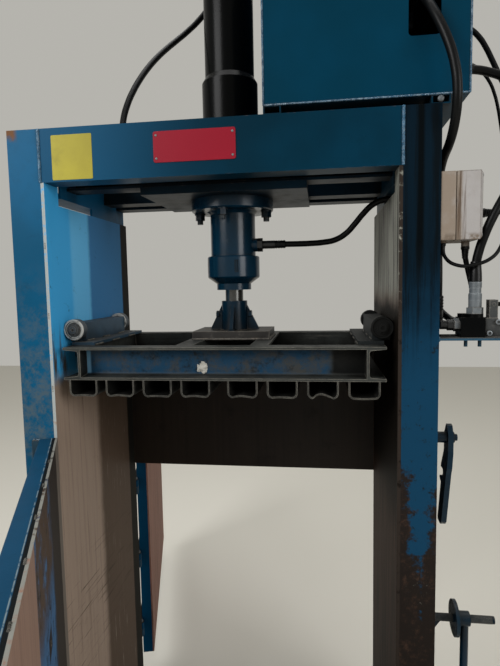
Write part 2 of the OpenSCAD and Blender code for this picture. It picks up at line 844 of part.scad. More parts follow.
// Power unit on the head
module housing_rails() color("steelblue")
    for (x = [housing_x, housing_far - 2 * housing_rail_w])
        difference() {
            box([x, housing_y, frame_h], [x + housing_rail_w, housing_y + housing_d, housing_z]);
            box([x + housing_rail_t, housing_y - 1, frame_h + housing_rail_t],
                [x + housing_rail_w - housing_rail_t, housing_y + housing_d + 1, housing_z - housing_rail_t]);
        }

module mouth_shape() {
    polygon(concat(
        arc_points(mouth_w - mouth_r, mouth_r, mouth_r, 270, 360, 6),
        arc_points(mouth_w - mouth_r, mouth_h - mouth_r, mouth_r, 0, 90, 6),
        arc_points(mouth_r, mouth_h - mouth_r, mouth_r, 90, 180, 6),
        arc_points(mouth_r, mouth_r, mouth_r, 180, 270, 6)));
}

module power_housing() color("steelblue") difference() {
    box([housing_x, housing_y, housing_z],
        [housing_far, housing_y + housing_d, housing_z + housing_h - sheet_t]);
    box([housing_x + sheet_t, housing_y + sheet_t, housing_z + sheet_t],
        [housing_far - sheet_t, housing_y + housing_d - sheet_t, housing_z + housing_h]);
    translate([mouth_x, housing_y + sheet_t + 1, mouth_z]) rotate([90, 0, 0])
        linear_extrude(sheet_t + 2) mouth_shape();
}

module housing_lid() color("steelblue")
    box([housing_x, housing_y, housing_z + housing_h - sheet_t],
        [housing_far, housing_y + housing_d, housing_z + housing_h]);

module oil_tank() color("dimgray")
    box([tank_x, tank_y, housing_z + sheet_t], [tank_x + tank_w, tank_y + tank_d, tank_top]);

// Motor with its feet on the tank, bell housing and pump with its outlet at the mouth
module pump_set() color("dimgray") {
    bar_x(motor_x, motor_x + motor_len, motor_y, motor_z, motor_r);
    bar_x(motor_x + motor_len - eps, pump_x, motor_y, motor_z, bell_r);
    box([pump_x - eps, motor_y - pump_half, motor_z - pump_half],
        [pump_x + pump_len, motor_y + pump_half, motor_z + pump_half]);
    for (x = [motor_x + foot_w, motor_x + motor_len - 2 * foot_w])
        box([x, motor_y - foot_half, tank_top], [x + foot_w, motor_y + foot_half, motor_z - motor_r / 2]);
    box([outlet[0] - 2 * outlet_r, motor_y - pump_half - outlet_r, outlet[2] - 2 * outlet_r],
        [pump_x + pump_len, motor_y, motor_z - pump_half + 1]);
    bar_y(outlet[0], outlet[1], motor_y - pump_half, outlet[2], outlet_r);
}

// Junction box: a base against the post and a lid with eased edges
module box_base() color("ivory") {
    box([x_out, box_y, box_z], [x_out + box_base_t, box_y + box_w, box_z + box_h]);
    bar_z(base_gland[0], base_gland[1], box_z - 4, box_z + eps, gland_r);
}

module box_lid() color("ivory") {
    box([lid_x - box_seam, box_y + box_lip, box_z + box_lip],
        [lid_x + eps, box_y + box_w - box_lip, box_z + box_h - box_lip]);
    hull() {
        box([lid_x, box_y, box_z], [box_far - box_ease, box_y + box_w, box_z + box_h]);
        box([box_far - 1, box_y + box_ease, box_z + box_ease],
            [box_far, box_y + box_w - box_ease, box_z + box_h - box_ease]);
    }
    bar_z(lid_gland[0], lid_gland[1], box_z - 12, box_z + eps, gland_r);
    bar_x(box_far - eps, box_far + 14, side_gland[0], side_gland[1], gland_r + 1);
}

// Valve on its shelf
module valve_shelf() color("steelblue") {
    box([x_out, y_front, shelf_z - shelf_t], [x_out + shelf_len, y_front + shelf_d, shelf_z]);
    for (x = [back_ports[0], valve_far - 8])
        bar_z(x, valve_y + 14, shelf_z - 22, shelf_z - shelf_t + eps, shelf_bolt_r);
}

module valve_body() color("black") {
    box([valve_x, valve_y, shelf_z], [valve_far, valve_back, valve_top]);
    bar_z(top_port_x, port_y, valve_top - eps, valve_top + plug_h, boss_r);
    hex_z(valve_x + 12, valve_back - 14, valve_top - eps, valve_top + plug_h, 20);
    bar_z(switch_port[0], switch_port[1], valve_top - eps, switch_port[2], switch_cable_r);
}

// Spool end cover with two socket screws and the lever's ears
module valve_cover() color("silver") {
    translate([0, valve_back - 8, 0]) rotate([90, 0, 0]) linear_extrude(valve_d - 12)
        polygon([[valve_far, shelf_z], [valve_far + cover_w, shelf_z], [valve_far + cover_w, shelf_z + cover_cut[1]],
            [valve_far + cover_w - cover_cut[0], shelf_z + cover_h], [valve_far, shelf_z + cover_h]]);
    bar_y(valve_far + cover_w - 9, valve_y, valve_y + 5, shelf_z + cover_h - 9, screw_r);
    bar_y(valve_far + 9, valve_y, valve_y + 5, shelf_z + 9, screw_r);
    difference() {
        box([valve_pivot_x - ear_half, valve_pivot_y - ear_out, shelf_z + cover_h - eps],
            [valve_pivot_x + ear_half, valve_pivot_y + ear_out, valve_pivot_z + ear_half + 1]);
        box([valve_pivot_x - ear_half - 1, valve_pivot_y - lever_half - play, shelf_z + cover_h + 7],
            [valve_pivot_x + ear_half + 1, valve_pivot_y + lever_half + play, valve_pivot_z + ear_half + 2]);
        bar_y(valve_pivot_x, valve_pivot_y - ear_out - 1, valve_pivot_y + ear_out + 1, valve_pivot_z, pivot_r);
    }
    bar_y(valve_pivot_x, valve_pivot_y - ear_out - 1, valve_pivot_y + ear_out + 1, valve_pivot_z, pivot_r);
}

module valve_lever() color("black") {
    difference() {
        union() {
            bar_y(valve_pivot_x, valve_pivot_y - lever_half, valve_pivot_y + lever_half, valve_pivot_z, ear_half);
            bar_x(valve_pivot_x + lever_half, valve_pivot_x + hand_len, valve_pivot_y, valve_pivot_z, hand_r);
        }
        bar_y(valve_pivot_x, valve_pivot_y - ear_out - 1, valve_pivot_y + ear_out + 1, valve_pivot_z, pivot_r + run);
    }
    translate([valve_pivot_x + hand_len + 10, valve_pivot_y, valve_pivot_z]) sphere(r = knob_r, $fn = 48);
}

module hydraulic_fittings() color("silver") {
    // Rod side: out of the barrel's boss
    hex_x(rod_nut_x, rod_nut_x + rod_nut_t, rod_port_y, rod_port_z, rod_nut_w);
    bar_x(rod_nut_x + rod_nut_t - eps, rod_nut_x + rod_nut_t + rod_fit_len, rod_port_y, rod_port_z, fit_r);
    // Cap side: elbow behind the cap, pointing down
    rotate(cap_port_turn) {
        bar_x(cap_port_r, cap_port_r + elbow_out, 0, cap_port_z, elbow_r);
        bar_z(cap_port_r + elbow_out - 6.5, 0, cap_port_z - 35, cap_port_z + fit_r, fit_r);
    }
    // Valve top
    hex_z(top_port_x, port_y, valve_top + plug_h, valve_top + plug_h + rod_nut_t, rod_nut_w);
    bar_z(top_port_x, port_y, valve_top + plug_h + rod_nut_t - eps, valve_top + plug_h + rod_nut_t + crimp_top, crimp_r);
    // Valve left: straight nuts and an elbow that turns back and up
    hex_x(valve_x - 12, valve_x, port_y, port_z, port_nut);
    hex_x(valve_x - 26, valve_x - 12 + eps, port_y, port_z, port_nut_2);
    bar_x(valve_x - 41, valve_x - 26 + eps, port_y, port_z, fit_r - 1);
    bar_y(side_elbow[0], port_y, side_elbow[1], port_z, fit_r - 1);
    bar_z(side_elbow[0], side_elbow[1], port_z - fit_r, side_end, elbow_r);
    // Valve back: two straight hose ends
    for (x = back_ports)
        bar_y(x, valve_back, back_end, port_z, fit_r);
    // Housing side
    for (g = [[return_gland, 12], [motor_gland, 10], [limit_gland, 8]])
        bar_x(housing_far, housing_far + gland_out, g[0][0], g[0][1], g[1]);
}

// Front door hinges: a leaf and knuckle on the post, a strap and knuckle on the door
module front_hinge_lugs() color("sienna") difference() {
    for (z = front_hinges) {
        box([front_hinge_x - leaf_out, y_front - leaf_t, z - leaf_low], [front_hinge_x + leaf_in, y_front, z + leaf_high]);
        box([front_hinge_x - knuckle_web / 2, front_hinge_y, z - knuckle_h],
            [front_hinge_x + knuckle_web / 2, y_front - leaf_t + eps, z - play]);
        bar_z(front_hinge_x, front_hinge_y, z - knuckle_h, z - play, knuckle_r);
    }
    for (z = front_hinges)
        bar_z(front_hinge_x, front_hinge_y, z - knuckle_h - 1, z + 1, hinge_pin_d / 2);
}

module rear_hinge_lugs() color("steelblue") difference() {
    for (z = rear_hinges) {
        box([rear_hinge_x - leaf_out, y_rear, z - rear_leaf_low],
            [rear_hinge_x + leaf_in, y_rear + leaf_t + eps, z + rear_leaf_high]);
        bar_z(rear_hinge_x, rear_hinge_y, z - knuckle_h, z - play, rear_knuckle_r);
        box([rear_hinge_x - rear_knuckle_web / 2, y_rear + leaf_t, z - knuckle_h],
            [rear_hinge_x + rear_knuckle_web / 2, rear_hinge_y, z - play]);
    }
    for (z = rear_hinges)
        bar_z(rear_hinge_x, rear_hinge_y, z - knuckle_h - 1, z + 1, hinge_pin_d / 2);
}

module hinge_pin(x, y, z) {
    bar_z(x, y, z - knuckle_h - 4, z + knuckle_h + 1, hinge_pin_d / 2);
    bar_z(x, y, z + knuckle_h + 1 - eps, z + knuckle_h + 1 + pin_head_h, pin_head_r);
}

module hinge_pins() color("silver") {
    for (z = front_hinges) hinge_pin(front_hinge_x, front_hinge_y, z);
    for (z = rear_hinges) hinge_pin(rear_hinge_x, rear_hinge_y, z);
}

module place_front_door() translate([front_hinge_x, front_hinge_y, 0]) rotate(-front_open) children();
module place_rear_door() translate([rear_hinge_x, rear_hinge_y, 0]) rotate(rear_open) children();

// Folded pan: a sheet with its four edges turned in, open towards the plate
module pan(x0, x1, y_out, y_in, z0, z1) {
    lo = min(y_out, y_in);
    hi = max(y_out, y_in);
    inner_lo = (y_out < y_in) ? lo + pan_t : lo - 1;
    inner_hi = (y_out < y_in) ? hi + 1 : hi - pan_t;
    difference() {
        box([x0, lo, z0], [x1, hi, z1]);
        box([x0 + pan_t, inner_lo, z0 + pan_t], [x1 - pan_t, inner_hi, z1 - pan_t]);
    }
}

module front_door_pan() color("steelblue") place_front_door() {
    y_out = front_inner - door_t;
    pan(front_near, front_far, y_out, front_inner - door_plate_t, door_low, front_door_top);
    difference() {
        for (z = front_hinges) {
            bar_z(0, 0, z + play, z + knuckle_h, knuckle_r);
            box([0, y_out - strap_t, z + play], [strap_len, y_out + eps, z + knuckle_h]);
        }
        for (z = front_hinges)
            bar_z(0, 0, z - 1, z + knuckle_h + 1, hinge_pin_d / 2 + run);
    }
    bar_x(front_far - eps, front_far + catch_len, catch_in, lever_z - notch_in, catch_d / 2);
    far = lug_x - front_hinge_x + lug_t;
    stud = lock_y - front_hinge_y;
    box([front_far - eps, y_out, lock_z - lug_half], [far, y_out + lug_plate_t, lock_z + lug_half]);
    difference() {
        box([far - lug_t, y_out, lock_z - lug_half], [far, stud + lug_past, lock_z + lug_half]);
        box([far - lug_t - 1, stud - lock_rod_d / 2 - 1, lock_z - lock_rod_d / 2 - 1],
            [far + 1, stud + lug_past + 1, lock_z + lock_rod_d / 2 + 1]);
    }
}

module front_door_plate() color("tan") place_front_door()
    box([front_near, front_inner - door_plate_t, door_low], [front_far, front_inner, front_door_top]);

module rear_door_pan() color("steelblue") place_rear_door() {
    y_out = rear_inner + door_t;
    pan(rear_near, rear_far, y_out, rear_inner + door_plate_t, door_low, rear_door_top);
    difference() {
        for (z = rear_hinges) {
            bar_z(0, 0, z + play, z + knuckle_h, rear_knuckle_r);
            box([0, y_out - eps, z + play], [strap_len, y_out + strap_t, z + knuckle_h]);
        }
        for (z = rear_hinges)
            bar_z(0, 0, z - 1, z + knuckle_h + 1, hinge_pin_d / 2 + run);
    }
}

module rear_door_plate() color("tan") place_rear_door()
    box([rear_near, rear_inner, door_low], [rear_far, rear_inner + door_plate_t, rear_door_top]);

// Stub for the hook lever, and the threaded stud of the lower lock with its gusset
module lock_mounts() color("steelblue") {
    bar_x(x_out, lever_x + lever_t + stub_tip, lever_y, lever_z, stub_d / 2);
    bar_x(x_out, lever_x - play, lever_y, lever_z, stub_d / 2 + stub_collar);
    bar_x(lever_x + lever_t + play, lever_x + lever_t + stub_collar, lever_y, lever_z, stub_d / 2 + stub_collar);
    bar_x(x_out, x_out + lock_rod_len, lock_y, lock_z, lock_rod_d / 2);
    translate([x_out, lock_y + stud_gusset_t / 2, lock_z - lock_rod_d / 2 + 1])
        rotate([90, 0, 0]) linear_extrude(stud_gusset_t)
            polygon([[0, 0], [stud_gusset[0], 0], [0, -stud_gusset[1]]]);
}

// Hook lever: a flat bar with a pointed head and a notch, its arm cranked towards the post
module latch_lever() color("steelblue") difference() {
    intersection() {
        translate([lever_x - 40, 0, 0]) rotate([90, 0, 90]) linear_extrude(80)
            polygon([for (p = [[-20, -30], [-23, -70], [-20, -82], [-20, -lever_len + 8], [-12, -lever_len],
                [14, -lever_len], [18, -lever_len + 6], [20, -hook_reach - 26], [36, -hook_reach - 20],
                [34, -hook_reach + 16], [22, -40], [22, 6], [4, 32], [-8, 30], [-20, 8]])
                [lever_y + p[0], lever_z + p[1]]]);
        translate([0, lever_y + 50, 0]) rotate([90, 0, 0]) linear_extrude(100)
            polygon([for (p = [[0, 40], [0, -34], [-lever_crank, -lever_len - 4], [lever_t - lever_crank, -lever_len - 4],
                [lever_t, -34], [lever_t, 40]]) [lever_x + p[0], lever_z + p[1]]]);
    }
    bar_x(lever_x - 30, lever_x + 40, lever_y, lever_z, stub_d / 2 + run);
    bar_x(lever_x - 30, lever_x + 40, lever_y + notch_in, lever_z - hook_reach, catch_d / 2 + notch_play);
    translate([lever_x - 40, 0, 0]) rotate([90, 0, 90]) linear_extrude(80)
        polygon([for (p = [[notch_in, -notch_r], [notch_in + 24, -16], [notch_in + 24, notch_r], [notch_in, notch_r]])
            [lever_y + p[0], lever_z - hook_reach + p[1]]]);
}

// Disc nut with a bar handle that hangs down
module lock_nut() color("steelblue") difference() {
    union() {
        bar_x(nut_x, nut_x + nut_t, lock_y, lock_z, lock_disc_d / 2);
        bar_x(nut_x + nut_t - eps, nut_x + nut_t + nut_len, lock_y, lock_z, boss_nut_r);
        bar_z(nut_x + nut_t + nut_len - handle_r - 1, lock_y, lock_z - handle_len, lock_z - 11, handle_r);
    }
    bar_x(nut_x - 1, nut_x + nut_len + 20, lock_y, lock_z, lock_rod_d / 2 + run);
}

// Hoses: a ring of points around each route point, joined into one skin
function along(route, i) =
    let (a = route[max(i - 1, 0)], b = route[min(i + 1, len(route) - 1)], d = b - a) d / norm(d);
function side_of(t) = let (c = cross(t, abs(t[2]) > 0.9 ? [0, 1, 0] : [0, 0, 1])) c / norm(c);
function carried(route, i) =
    (i == 0) ? side_of(along(route, 0))
             : let (s = carried(route, i - 1), t = along(route, i), c = s - t * (s * t)) c / norm(c);
module hose(route, r, sides = 10) {
    n = len(route);
    rings = [for (i = [0 : n - 1])
        let (t = along(route, i), u = carried(route, i), v = cross(t, u))
            for (k = [0 : sides - 1])
                route[i] + r * (cos(360 * k / sides) * u + sin(360 * k / sides) * v)];
    skin = [for (i = [0 : n - 2], k = [0 : sides - 1])
        [i * sides + k, i * sides + (k + 1) % sides, (i + 1) * sides + (k + 1) % sides, (i + 1) * sides + k]];
    first = [[for (k = [sides - 1 : -1 : 0]) k]];
    last = [[for (k = [0 : sides - 1]) (n - 1) * sides + k]];
    polyhedron(rings, concat(skin, first, last));
}

module hose_cap_side() color("black") hose(cap_route, hose_r);
module hose_rod_side() color("black") hose(rod_route, hose_r);
module hose_pressure() color("black") hose(pressure_route, thick_hose_r);
module hose_return() color("black") hose(return_route, thick_hose_r);
module cable_motor() color("black") hose(motor_route, motor_cable_r);
module cable_limit() color("black") hose(limit_route, thin_cable_r);
module cable_switch() color("black") hose(switch_route, switch_cable_r);

front_posts();
rear_posts();
head_front_beam();
head_inner_beams();
head_rails();
side_liners();
rear_panel();
side_braces();
base_sills();
chamber_floor();
cylinder_plate();
cylinder_flange();
flange_bolts();
cylinder_barrel();
cylinder_gland();
cylinder_sleeve();
cylinder_cap();
housing_rails();
power_housing();
housing_lid();
oil_tank();
pump_set();
box_base();
box_lid();
valve_shelf();
valve_body();
valve_cover();
hydraulic_fittings();
front_hinge_lugs();
rear_hinge_lugs();
hinge_pins();
lock_mounts();
hose_cap_side();
hose_rod_side();
hose_pressure();
hose_return();
cable_motor();
cable_limit();
cable_switch();
piston_rod();
rod_bracket();
platen_block();
platen_channels();
platen_plate();
platen_ribs();
roller_bars();
roller_axles();
roller_front_left();
roller_front_right();
roller_rear_left();
roller_rear_right();
front_door_pan();
front_door_plate();
rear_door_pan();
rear_door_plate();
latch_lever();
lock_nut();
valve_lever();
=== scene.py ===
# %% [markdown]
# A vertical recycling baler, dressed for its portrait. The steelwork, the ram, the doors and the rollers
# come from the frame at their real size. This lesson gives them their worn paint and bare steel, lays the
# hoses and cables, and adds the small work that a welder and a fitter leave behind: beads, threads, rivets,
# crimps and stains.

# %% The frame
import math

import bpy
from mathutils import Matrix, Vector


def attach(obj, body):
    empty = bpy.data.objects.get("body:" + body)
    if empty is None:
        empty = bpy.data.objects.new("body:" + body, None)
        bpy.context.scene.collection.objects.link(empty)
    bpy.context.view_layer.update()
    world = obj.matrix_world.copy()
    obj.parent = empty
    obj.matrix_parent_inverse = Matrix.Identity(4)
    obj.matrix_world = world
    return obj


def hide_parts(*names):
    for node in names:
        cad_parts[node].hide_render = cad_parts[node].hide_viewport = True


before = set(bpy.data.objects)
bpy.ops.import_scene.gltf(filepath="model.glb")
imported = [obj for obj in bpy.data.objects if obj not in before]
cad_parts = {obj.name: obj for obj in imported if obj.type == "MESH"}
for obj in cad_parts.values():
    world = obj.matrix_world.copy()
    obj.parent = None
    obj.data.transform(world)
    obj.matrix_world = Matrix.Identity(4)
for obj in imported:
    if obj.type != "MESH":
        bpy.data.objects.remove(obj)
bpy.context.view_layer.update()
MM = 0.001

# %% [markdown]
# The photograph was taken from about 1.5 m above the floor, a little to the right of the baler's middle,
# with a wide lens and a slight downward tilt. A constraint could aim the camera at an empty, but a place
# and three small turns are exact and need no helper. It is set once, and everything is judged in it.

# %% The camera
EYE = Vector((0.2398, -1.4306, 1.5))
TURN_LEFT = 0.1371
TILT_DOWN = 0.0912
ROLL = -0.0189
camera = bpy.data.objects.new("camera", bpy.data.cameras.new("camera"))
bpy.context.scene.collection.objects.link(camera)
camera.data.sensor_fit = "VERTICAL"
camera.data.sensor_height = 36
camera.data.lens = 27.66
camera.data.clip_start = 0.01
camera.matrix_world = (Matrix.Translation(EYE) @ Matrix.Rotation(TURN_LEFT, 4, "Z")
                       @ Matrix.Rotation(math.pi / 2 - TILT_DOWN, 4, "X") @ Matrix.Rotation(ROLL, 4, "Z"))
bpy.context.scene.camera = camera
print("camera at", tuple(round(c, 3) for c in EYE))

# %% [markdown]
# Hoses first. On the baler they are rubber over steel braid, so they leave each fitting straight and then
# bend in wide arcs. They could be swept in edit mode, but a curve object keeps its route, and its bevel
# gives the thickness. Automatic handles bulge where points lie close together, so the curve's own points
# are spread evenly over a spline through the route.

# %% Routes of the hoses and cables, in millimetres
ROUTES = {
    "hose_cap_side": (16, "stiff", [(-49, 85, 2385), (-49, 85, 2350), (-66, 76, 2296),
        (-119, 55, 2228), (-176, -8, 2148), (-214, -72, 2068), (-240, -136, 1970), (-242, -178, 1880),
        (-206, -214, 1800), (-137, -228, 1773), (60, -226, 1773), (250, -224, 1773), (330, -204, 1783),
        (376, -181, 1794), (415, -160, 1800), (448, -144, 1790), (484, -118, 1748), (508, -84, 1666),
        (517, -62, 1560), (524, -52, 1469), (555, -92, 1415), (565, -136, 1404), (565, -150, 1404)]),
    "hose_rod_side": (16, "stiff", [(118, -10, 1613), (146, -10, 1613), (252, 1, 1616), (303, 1, 1632),
        (339, -8, 1668), (374, -19, 1705), (402, -27, 1718), (428, -31, 1719), (458, -35, 1707),
        (489, -34, 1672), (501, -26, 1609), (512, -13, 1506), (531, -17, 1446), (576, -67, 1404),
        (590, -134, 1404), (590, -150, 1404)]),
    "hose_pressure": (20, "stiff", [(452, -150, 2135), (452, -182, 2135), (459, -236, 2113),
        (476, -278, 2058), (500, -298, 1990), (516, -302, 1926), (521, -292, 1861), (521, -249, 1809),
        (521, -196, 1788), (522, -148, 1761), (524, -116, 1706), (526, -106, 1632), (523, -134, 1546),
        (520, -150, 1456), (520, -150, 1440)]),
    "hose_return": (20, "stiff", [(585, -220, 1466), (585, -220, 1500), (586, -221, 1546),
        (610, -232, 1630), (636, -230, 1680), (671, -206, 1752), (711, -136, 1890), (699, -115, 1950),
        (660, -103, 1986), (598, -100, 2004), (574, -100, 2004)]),
    "cable_motor": (14, "medium", [(602, -200, 1654), (626, -200, 1654), (672, -188, 1672),
        (710, -154, 1734), (732, -100, 1822), (734, -40, 1908), (702, 46, 2055), (646, 60, 2161),
        (590, 60, 2184), (574, 60, 2184)]),
    "cable_limit": (8, "medium", [(514, -215, 1588), (514, -215, 1574), (534, -226, 1541),
        (610, -244, 1551), (646, -214, 1605), (678, -170, 1678), (690, -112, 1763), (686, -66, 1845),
        (652, -50, 1998), (592, -50, 2042), (574, -50, 2042)]),
    "cable_switch": (12, "medium", [(567, -200, 1580), (567, -200, 1562), (577, -195, 1520),
        (594, -196, 1440), (594, -196, 1424)]),
}


def eased(points, count):
    """Evenly spaced points on a smooth curve through the route, which is a natural cubic spline."""
    knots = [Vector(p) for p in points]
    steps = [math.sqrt((b - a).length) for a, b in zip(knots, knots[1:])]
    last = len(knots) - 1
    slope = [(b - a) / h for a, b, h in zip(knots, knots[1:], steps)]
    share, bend = [0.0] * (last + 1), [Vector()] * (last + 1)
    for i in range(1, last):
        pivot = 2 * (steps[i - 1] + steps[i]) - steps[i - 1] * share[i - 1]
        share[i] = steps[i] / pivot
        bend[i] = (6 * (slope[i] - slope[i - 1]) - steps[i - 1] * bend[i - 1]) / pivot
    for i in range(last - 1, 0, -1):
        bend[i] = bend[i] - share[i] * bend[i + 1]
    fine = []
    for i, h in enumerate(steps):
        for k in range(24):
            s = h * k / 24
            r = h - s
            curved = (bend[i] * r ** 3 + bend[i + 1] * s ** 3) / (6 * h)
            from_start = (knots[i] / h - bend[i] * h / 6) * r
            fine.append(curved + from_start + (knots[i + 1] / h - bend[i + 1] * h / 6) * s)
    fine.append(knots[-1])
    run = [0.0]
    for a, b in zip(fine, fine[1:]):
        run.append(run[-1] + (b - a).length)
    spaced, j = [], 0
    for k in range(count):
        want = run[-1] * k / (count - 1)
        while j < len(fine) - 2 and run[j + 1] < want:
            j += 1
        spaced.append(fine[j].lerp(fine[j + 1], (want - run[j]) / (run[j + 1] - run[j])))
    return spaced


print("routes:", len(ROUTES))

# %% [markdown]
# A curve's spline holds its points, the bevel depth is its radius, and caps close its ends.

# %% A hose from its route
def lay_hose(node, diameter, stiffness, points):
    """One open curve through the points, which stands for its CAD tube; the tube is hidden."""
    data = bpy.data.curves.new(node + "_run", "CURVE")
    data.dimensions = "3D"
    data.resolution_u = 6
    data.bevel_depth = diameter / 2 * MM
    data.bevel_resolution = 5
    data.use_fill_caps = True
    run = data.splines.new("BEZIER")
    rough_length = sum((Vector(b) - Vector(a)).length for a, b in zip(points, points[1:]))
    along = eased(points, max(15, min(40, round(rough_length / 32))))
    run.bezier_points.add(len(along) - 1)
    for knot, point in zip(run.bezier_points, along):
        knot.co = Vector(point) * MM
        knot.handle_left_type = knot.handle_right_type = "AUTO"
    curve = bpy.data.objects.new(node + "_run", data)
    bpy.context.scene.collection.objects.link(curve)
    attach(curve, "frame")
    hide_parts(node)
    return curve


hoses = [lay_hose(node, *facts) for node, facts in ROUTES.items()]

# %% [markdown]
# Materials are built from nodes. They could be wired by hand in the shader editor, but then a script could
# only load them. A small helper adds a node, sets its values and makes its links in one line. The others
# name what is done with numbers: plus, minus, times, and fade for a smooth step.

# %% Node helpers
def put(tree, kind, inputs=None, **settings):
    """Adds a shader node. A socket among the inputs is linked, and a number or colour is set."""
    made = tree.nodes.new("ShaderNode" + kind)
    for name, value in settings.items():
        setattr(made, name, value)
    for name, value in (inputs or {}).items():
        if isinstance(value, bpy.types.NodeSocket):
            tree.links.new(value, made.inputs[name])
        else:
            made.inputs[name].default_value = value
    return made


def colour(red, green, blue):
    """An sRGB colour, as read off a screen from 0 to 255, as the linear colour that a shader takes."""
    def linear(c):
        c = c / 255
        return c / 12.92 if c <= 0.04045 else ((c + 0.055) / 1.055) ** 2.4
    return (linear(red), linear(green), linear(blue), 1)


def blend(tree, factor, first, second):
    return put(tree, "Mix", {0: factor, 6: first, 7: second}, data_type="RGBA").outputs[2]


def maths(tree, operation, first, second=0.0):
    return put(tree, "Math", {0: first, 1: second}, operation=operation).outputs[0]


def plus(tree, first, second):
    return maths(tree, "ADD", first, second)


def minus(tree, first, second):
    return maths(tree, "SUBTRACT", first, second)


def times(tree, first, *others):
    for other in others:
        first = maths(tree, "MULTIPLY", first, other)
    return first


def fade(tree, value, low, high):
    """0 below low, 1 above high and a smooth step between."""
    made = put(tree, "MapRange", {"Value": value, "From Min": low, "From Max": high},
               interpolation_type="SMOOTHSTEP")
    return made.outputs["Result"]


def noise(tree, where, scale, detail=4.0, roughness=0.6):
    made = put(tree, "TexNoise", {"Vector": where, "Scale": scale, "Detail": detail, "Roughness": roughness})
    return made.outputs["Fac"]


def stretch(tree, where, scale):
    return put(tree, "Mapping", {"Vector": where, "Scale": scale}).outputs["Vector"]


def place(tree):
    """Object coordinates, which are metres from the baler's base."""
    return put(tree, "TexCoord").outputs["Object"]


def new_group(name, inputs, outputs):
    """A node group with plain sockets, which are given as names with their kinds."""
    group = bpy.data.node_groups.new(name, "ShaderNodeTree")
    for way, sockets in (("INPUT", inputs), ("OUTPUT", outputs)):
        for socket, kind in sockets.items():
            group.interface.new_socket(socket, in_out=way, socket_type="NodeSocket" + kind)
    return group, group.nodes.new("NodeGroupInput").outputs, group.nodes.new("NodeGroupOutput").inputs


def give(tree, out, values):
    """Links what a group gives out."""
    for name, value in values.items():
        tree.links.new(value, out[name])


print("helpers ready")

# %% [markdown]
# Paint on a welded machine goes first at its edges. The Bevel node compares the true normal with a rounded
# one: where they differ there is an edge. Noise breaks that line up, so the chips are patches and not an
# outline. It is a group, because paint and bare steel both use it.

# %% Chipped edges
MASK = {"Mask": "Float"}
chipped_edges, given, out = new_group("chipped edges", {"Width": "Float", "Amount": "Float"}, MASK)
g = chipped_edges
rounded = put(g, "Bevel", {"Radius": given["Width"]}, samples=4).outputs["Normal"]
true_normal = put(g, "NewGeometry").outputs["Normal"]
alike = put(g, "VectorMath", {0: rounded, 1: true_normal}, operation="DOT_PRODUCT").outputs["Value"]
edge = fade(g, alike, 0.995, 0.86)
broken = fade(g, noise(g, place(g), 46, 8, 0.72), minus(g, 0.86, given["Amount"]), 0.82)
give(g, out, {"Mask": times(g, edge, broken)})
print("group:", g.name)

# %% [markdown]
# Dirt does the opposite and gathers in corners, where no cloth reaches, and the same mask darkens corners
# as painted shade. A mask could be painted by hand, but the Ambient Occlusion node finds the corners by
# itself: it tells how open the surroundings of a point are.

# %% Corner dirt and painted shade
corner_dirt_and_shade, given, out = new_group("corner dirt and shade", {"Reach": "Float", "Amount": "Float"}, MASK)
g = corner_dirt_and_shade
open_share = put(g, "AmbientOcclusion", {"Distance": given["Reach"]}, samples=6).outputs["AO"]
ragged = times(g, minus(g, noise(g, place(g), 22, 6), 0.5), 0.5)
closed = fade(g, plus(g, open_share, ragged), 0.92, 0.38)
give(g, out, {"Mask": times(g, closed, given["Amount"])})
print("group:", g.name)

# %% [markdown]
# The machine paint is a gloss enamel, sprayed thick over rough steel, under years of oil and dust. One
# group makes every painted piece: it drifts in tone, lays grime in soft patches, darkens corners with dirt
# and painted shade, runs streaks downward, dusts what faces up and chips the edges. Each material places
# the group with its own values, which keeps the pieces of one family and still lets the head be cleaner
# than the sills.

# %% Worn paint
SURFACE = {"Color": "Color", "Roughness": "Float", "Metallic": "Float", "Height": "Float"}
worn_paint, given, out = new_group("worn paint", {
    **dict.fromkeys(("Paint", "Shade", "Dirt", "Bare"), "Color"),
    **dict.fromkeys(("Grime", "Streaks", "Chips", "Corners", "Dust", "Gloss"), "Float")}, SURFACE)
g = worn_paint
where = place(g)
tone = fade(g, noise(g, where, 2.6, 3), 0.34, 0.66)
skin = blend(g, tone, given["Paint"], given["Shade"])
mottle = fade(g, noise(g, where, 34, 7, 0.7), 0.44, 0.74)
skin = blend(g, times(g, mottle, 0.4), skin, given["Shade"])
patch_start = minus(g, 0.80, times(g, given["Grime"], 0.5))
patch = fade(g, noise(g, where, 7.5, 9, 0.7), patch_start, 0.88)
skin = blend(g, times(g, patch, 0.8), skin, given["Dirt"])
streak_start = minus(g, 0.82, times(g, given["Streaks"], 0.4))
run_down = fade(g, noise(g, stretch(g, where, (60, 60, 1.7)), 1.0, 5, 0.7), streak_start, 0.86)
skin = blend(g, times(g, run_down, 0.6), skin, given["Dirt"])
flecks = fade(g, noise(g, where, 150, 6, 0.8), 0.66, 0.72)
skin = blend(g, times(g, flecks, plus(g, given["Grime"], 0.1)), skin, given["Dirt"])
# Corners darken toward the Dirt colour: dirt and painted shade.
corners = put(g, "Group", {"Reach": 0.05, "Amount": given["Corners"]}, node_tree=corner_dirt_and_shade).outputs["Mask"]
skin = blend(g, corners, skin, given["Dirt"])
chips = put(g, "Group", {"Width": 0.0035, "Amount": given["Chips"]}, node_tree=chipped_edges).outputs["Mask"]
bare_tint = blend(g, fade(g, noise(g, where, 90, 5, 0.7), 0.4, 0.6), given["Bare"], colour(46, 36, 30))
skin = blend(g, chips, skin, bare_tint)
upward = put(g, "SeparateXYZ", {"Vector": put(g, "NewGeometry").outputs["Normal"]}).outputs["Z"]
uneven = plus(g, noise(g, where, 18, 6), 0.3)
settled = times(g, fade(g, upward, 0.5, 0.9), times(g, given["Dust"], uneven))
skin = blend(g, settled, skin, colour(96, 90, 80))
rough = plus(g, given["Gloss"], times(g, plus(g, patch, corners), 0.25))
rough = plus(g, rough, times(g, settled, 0.4))
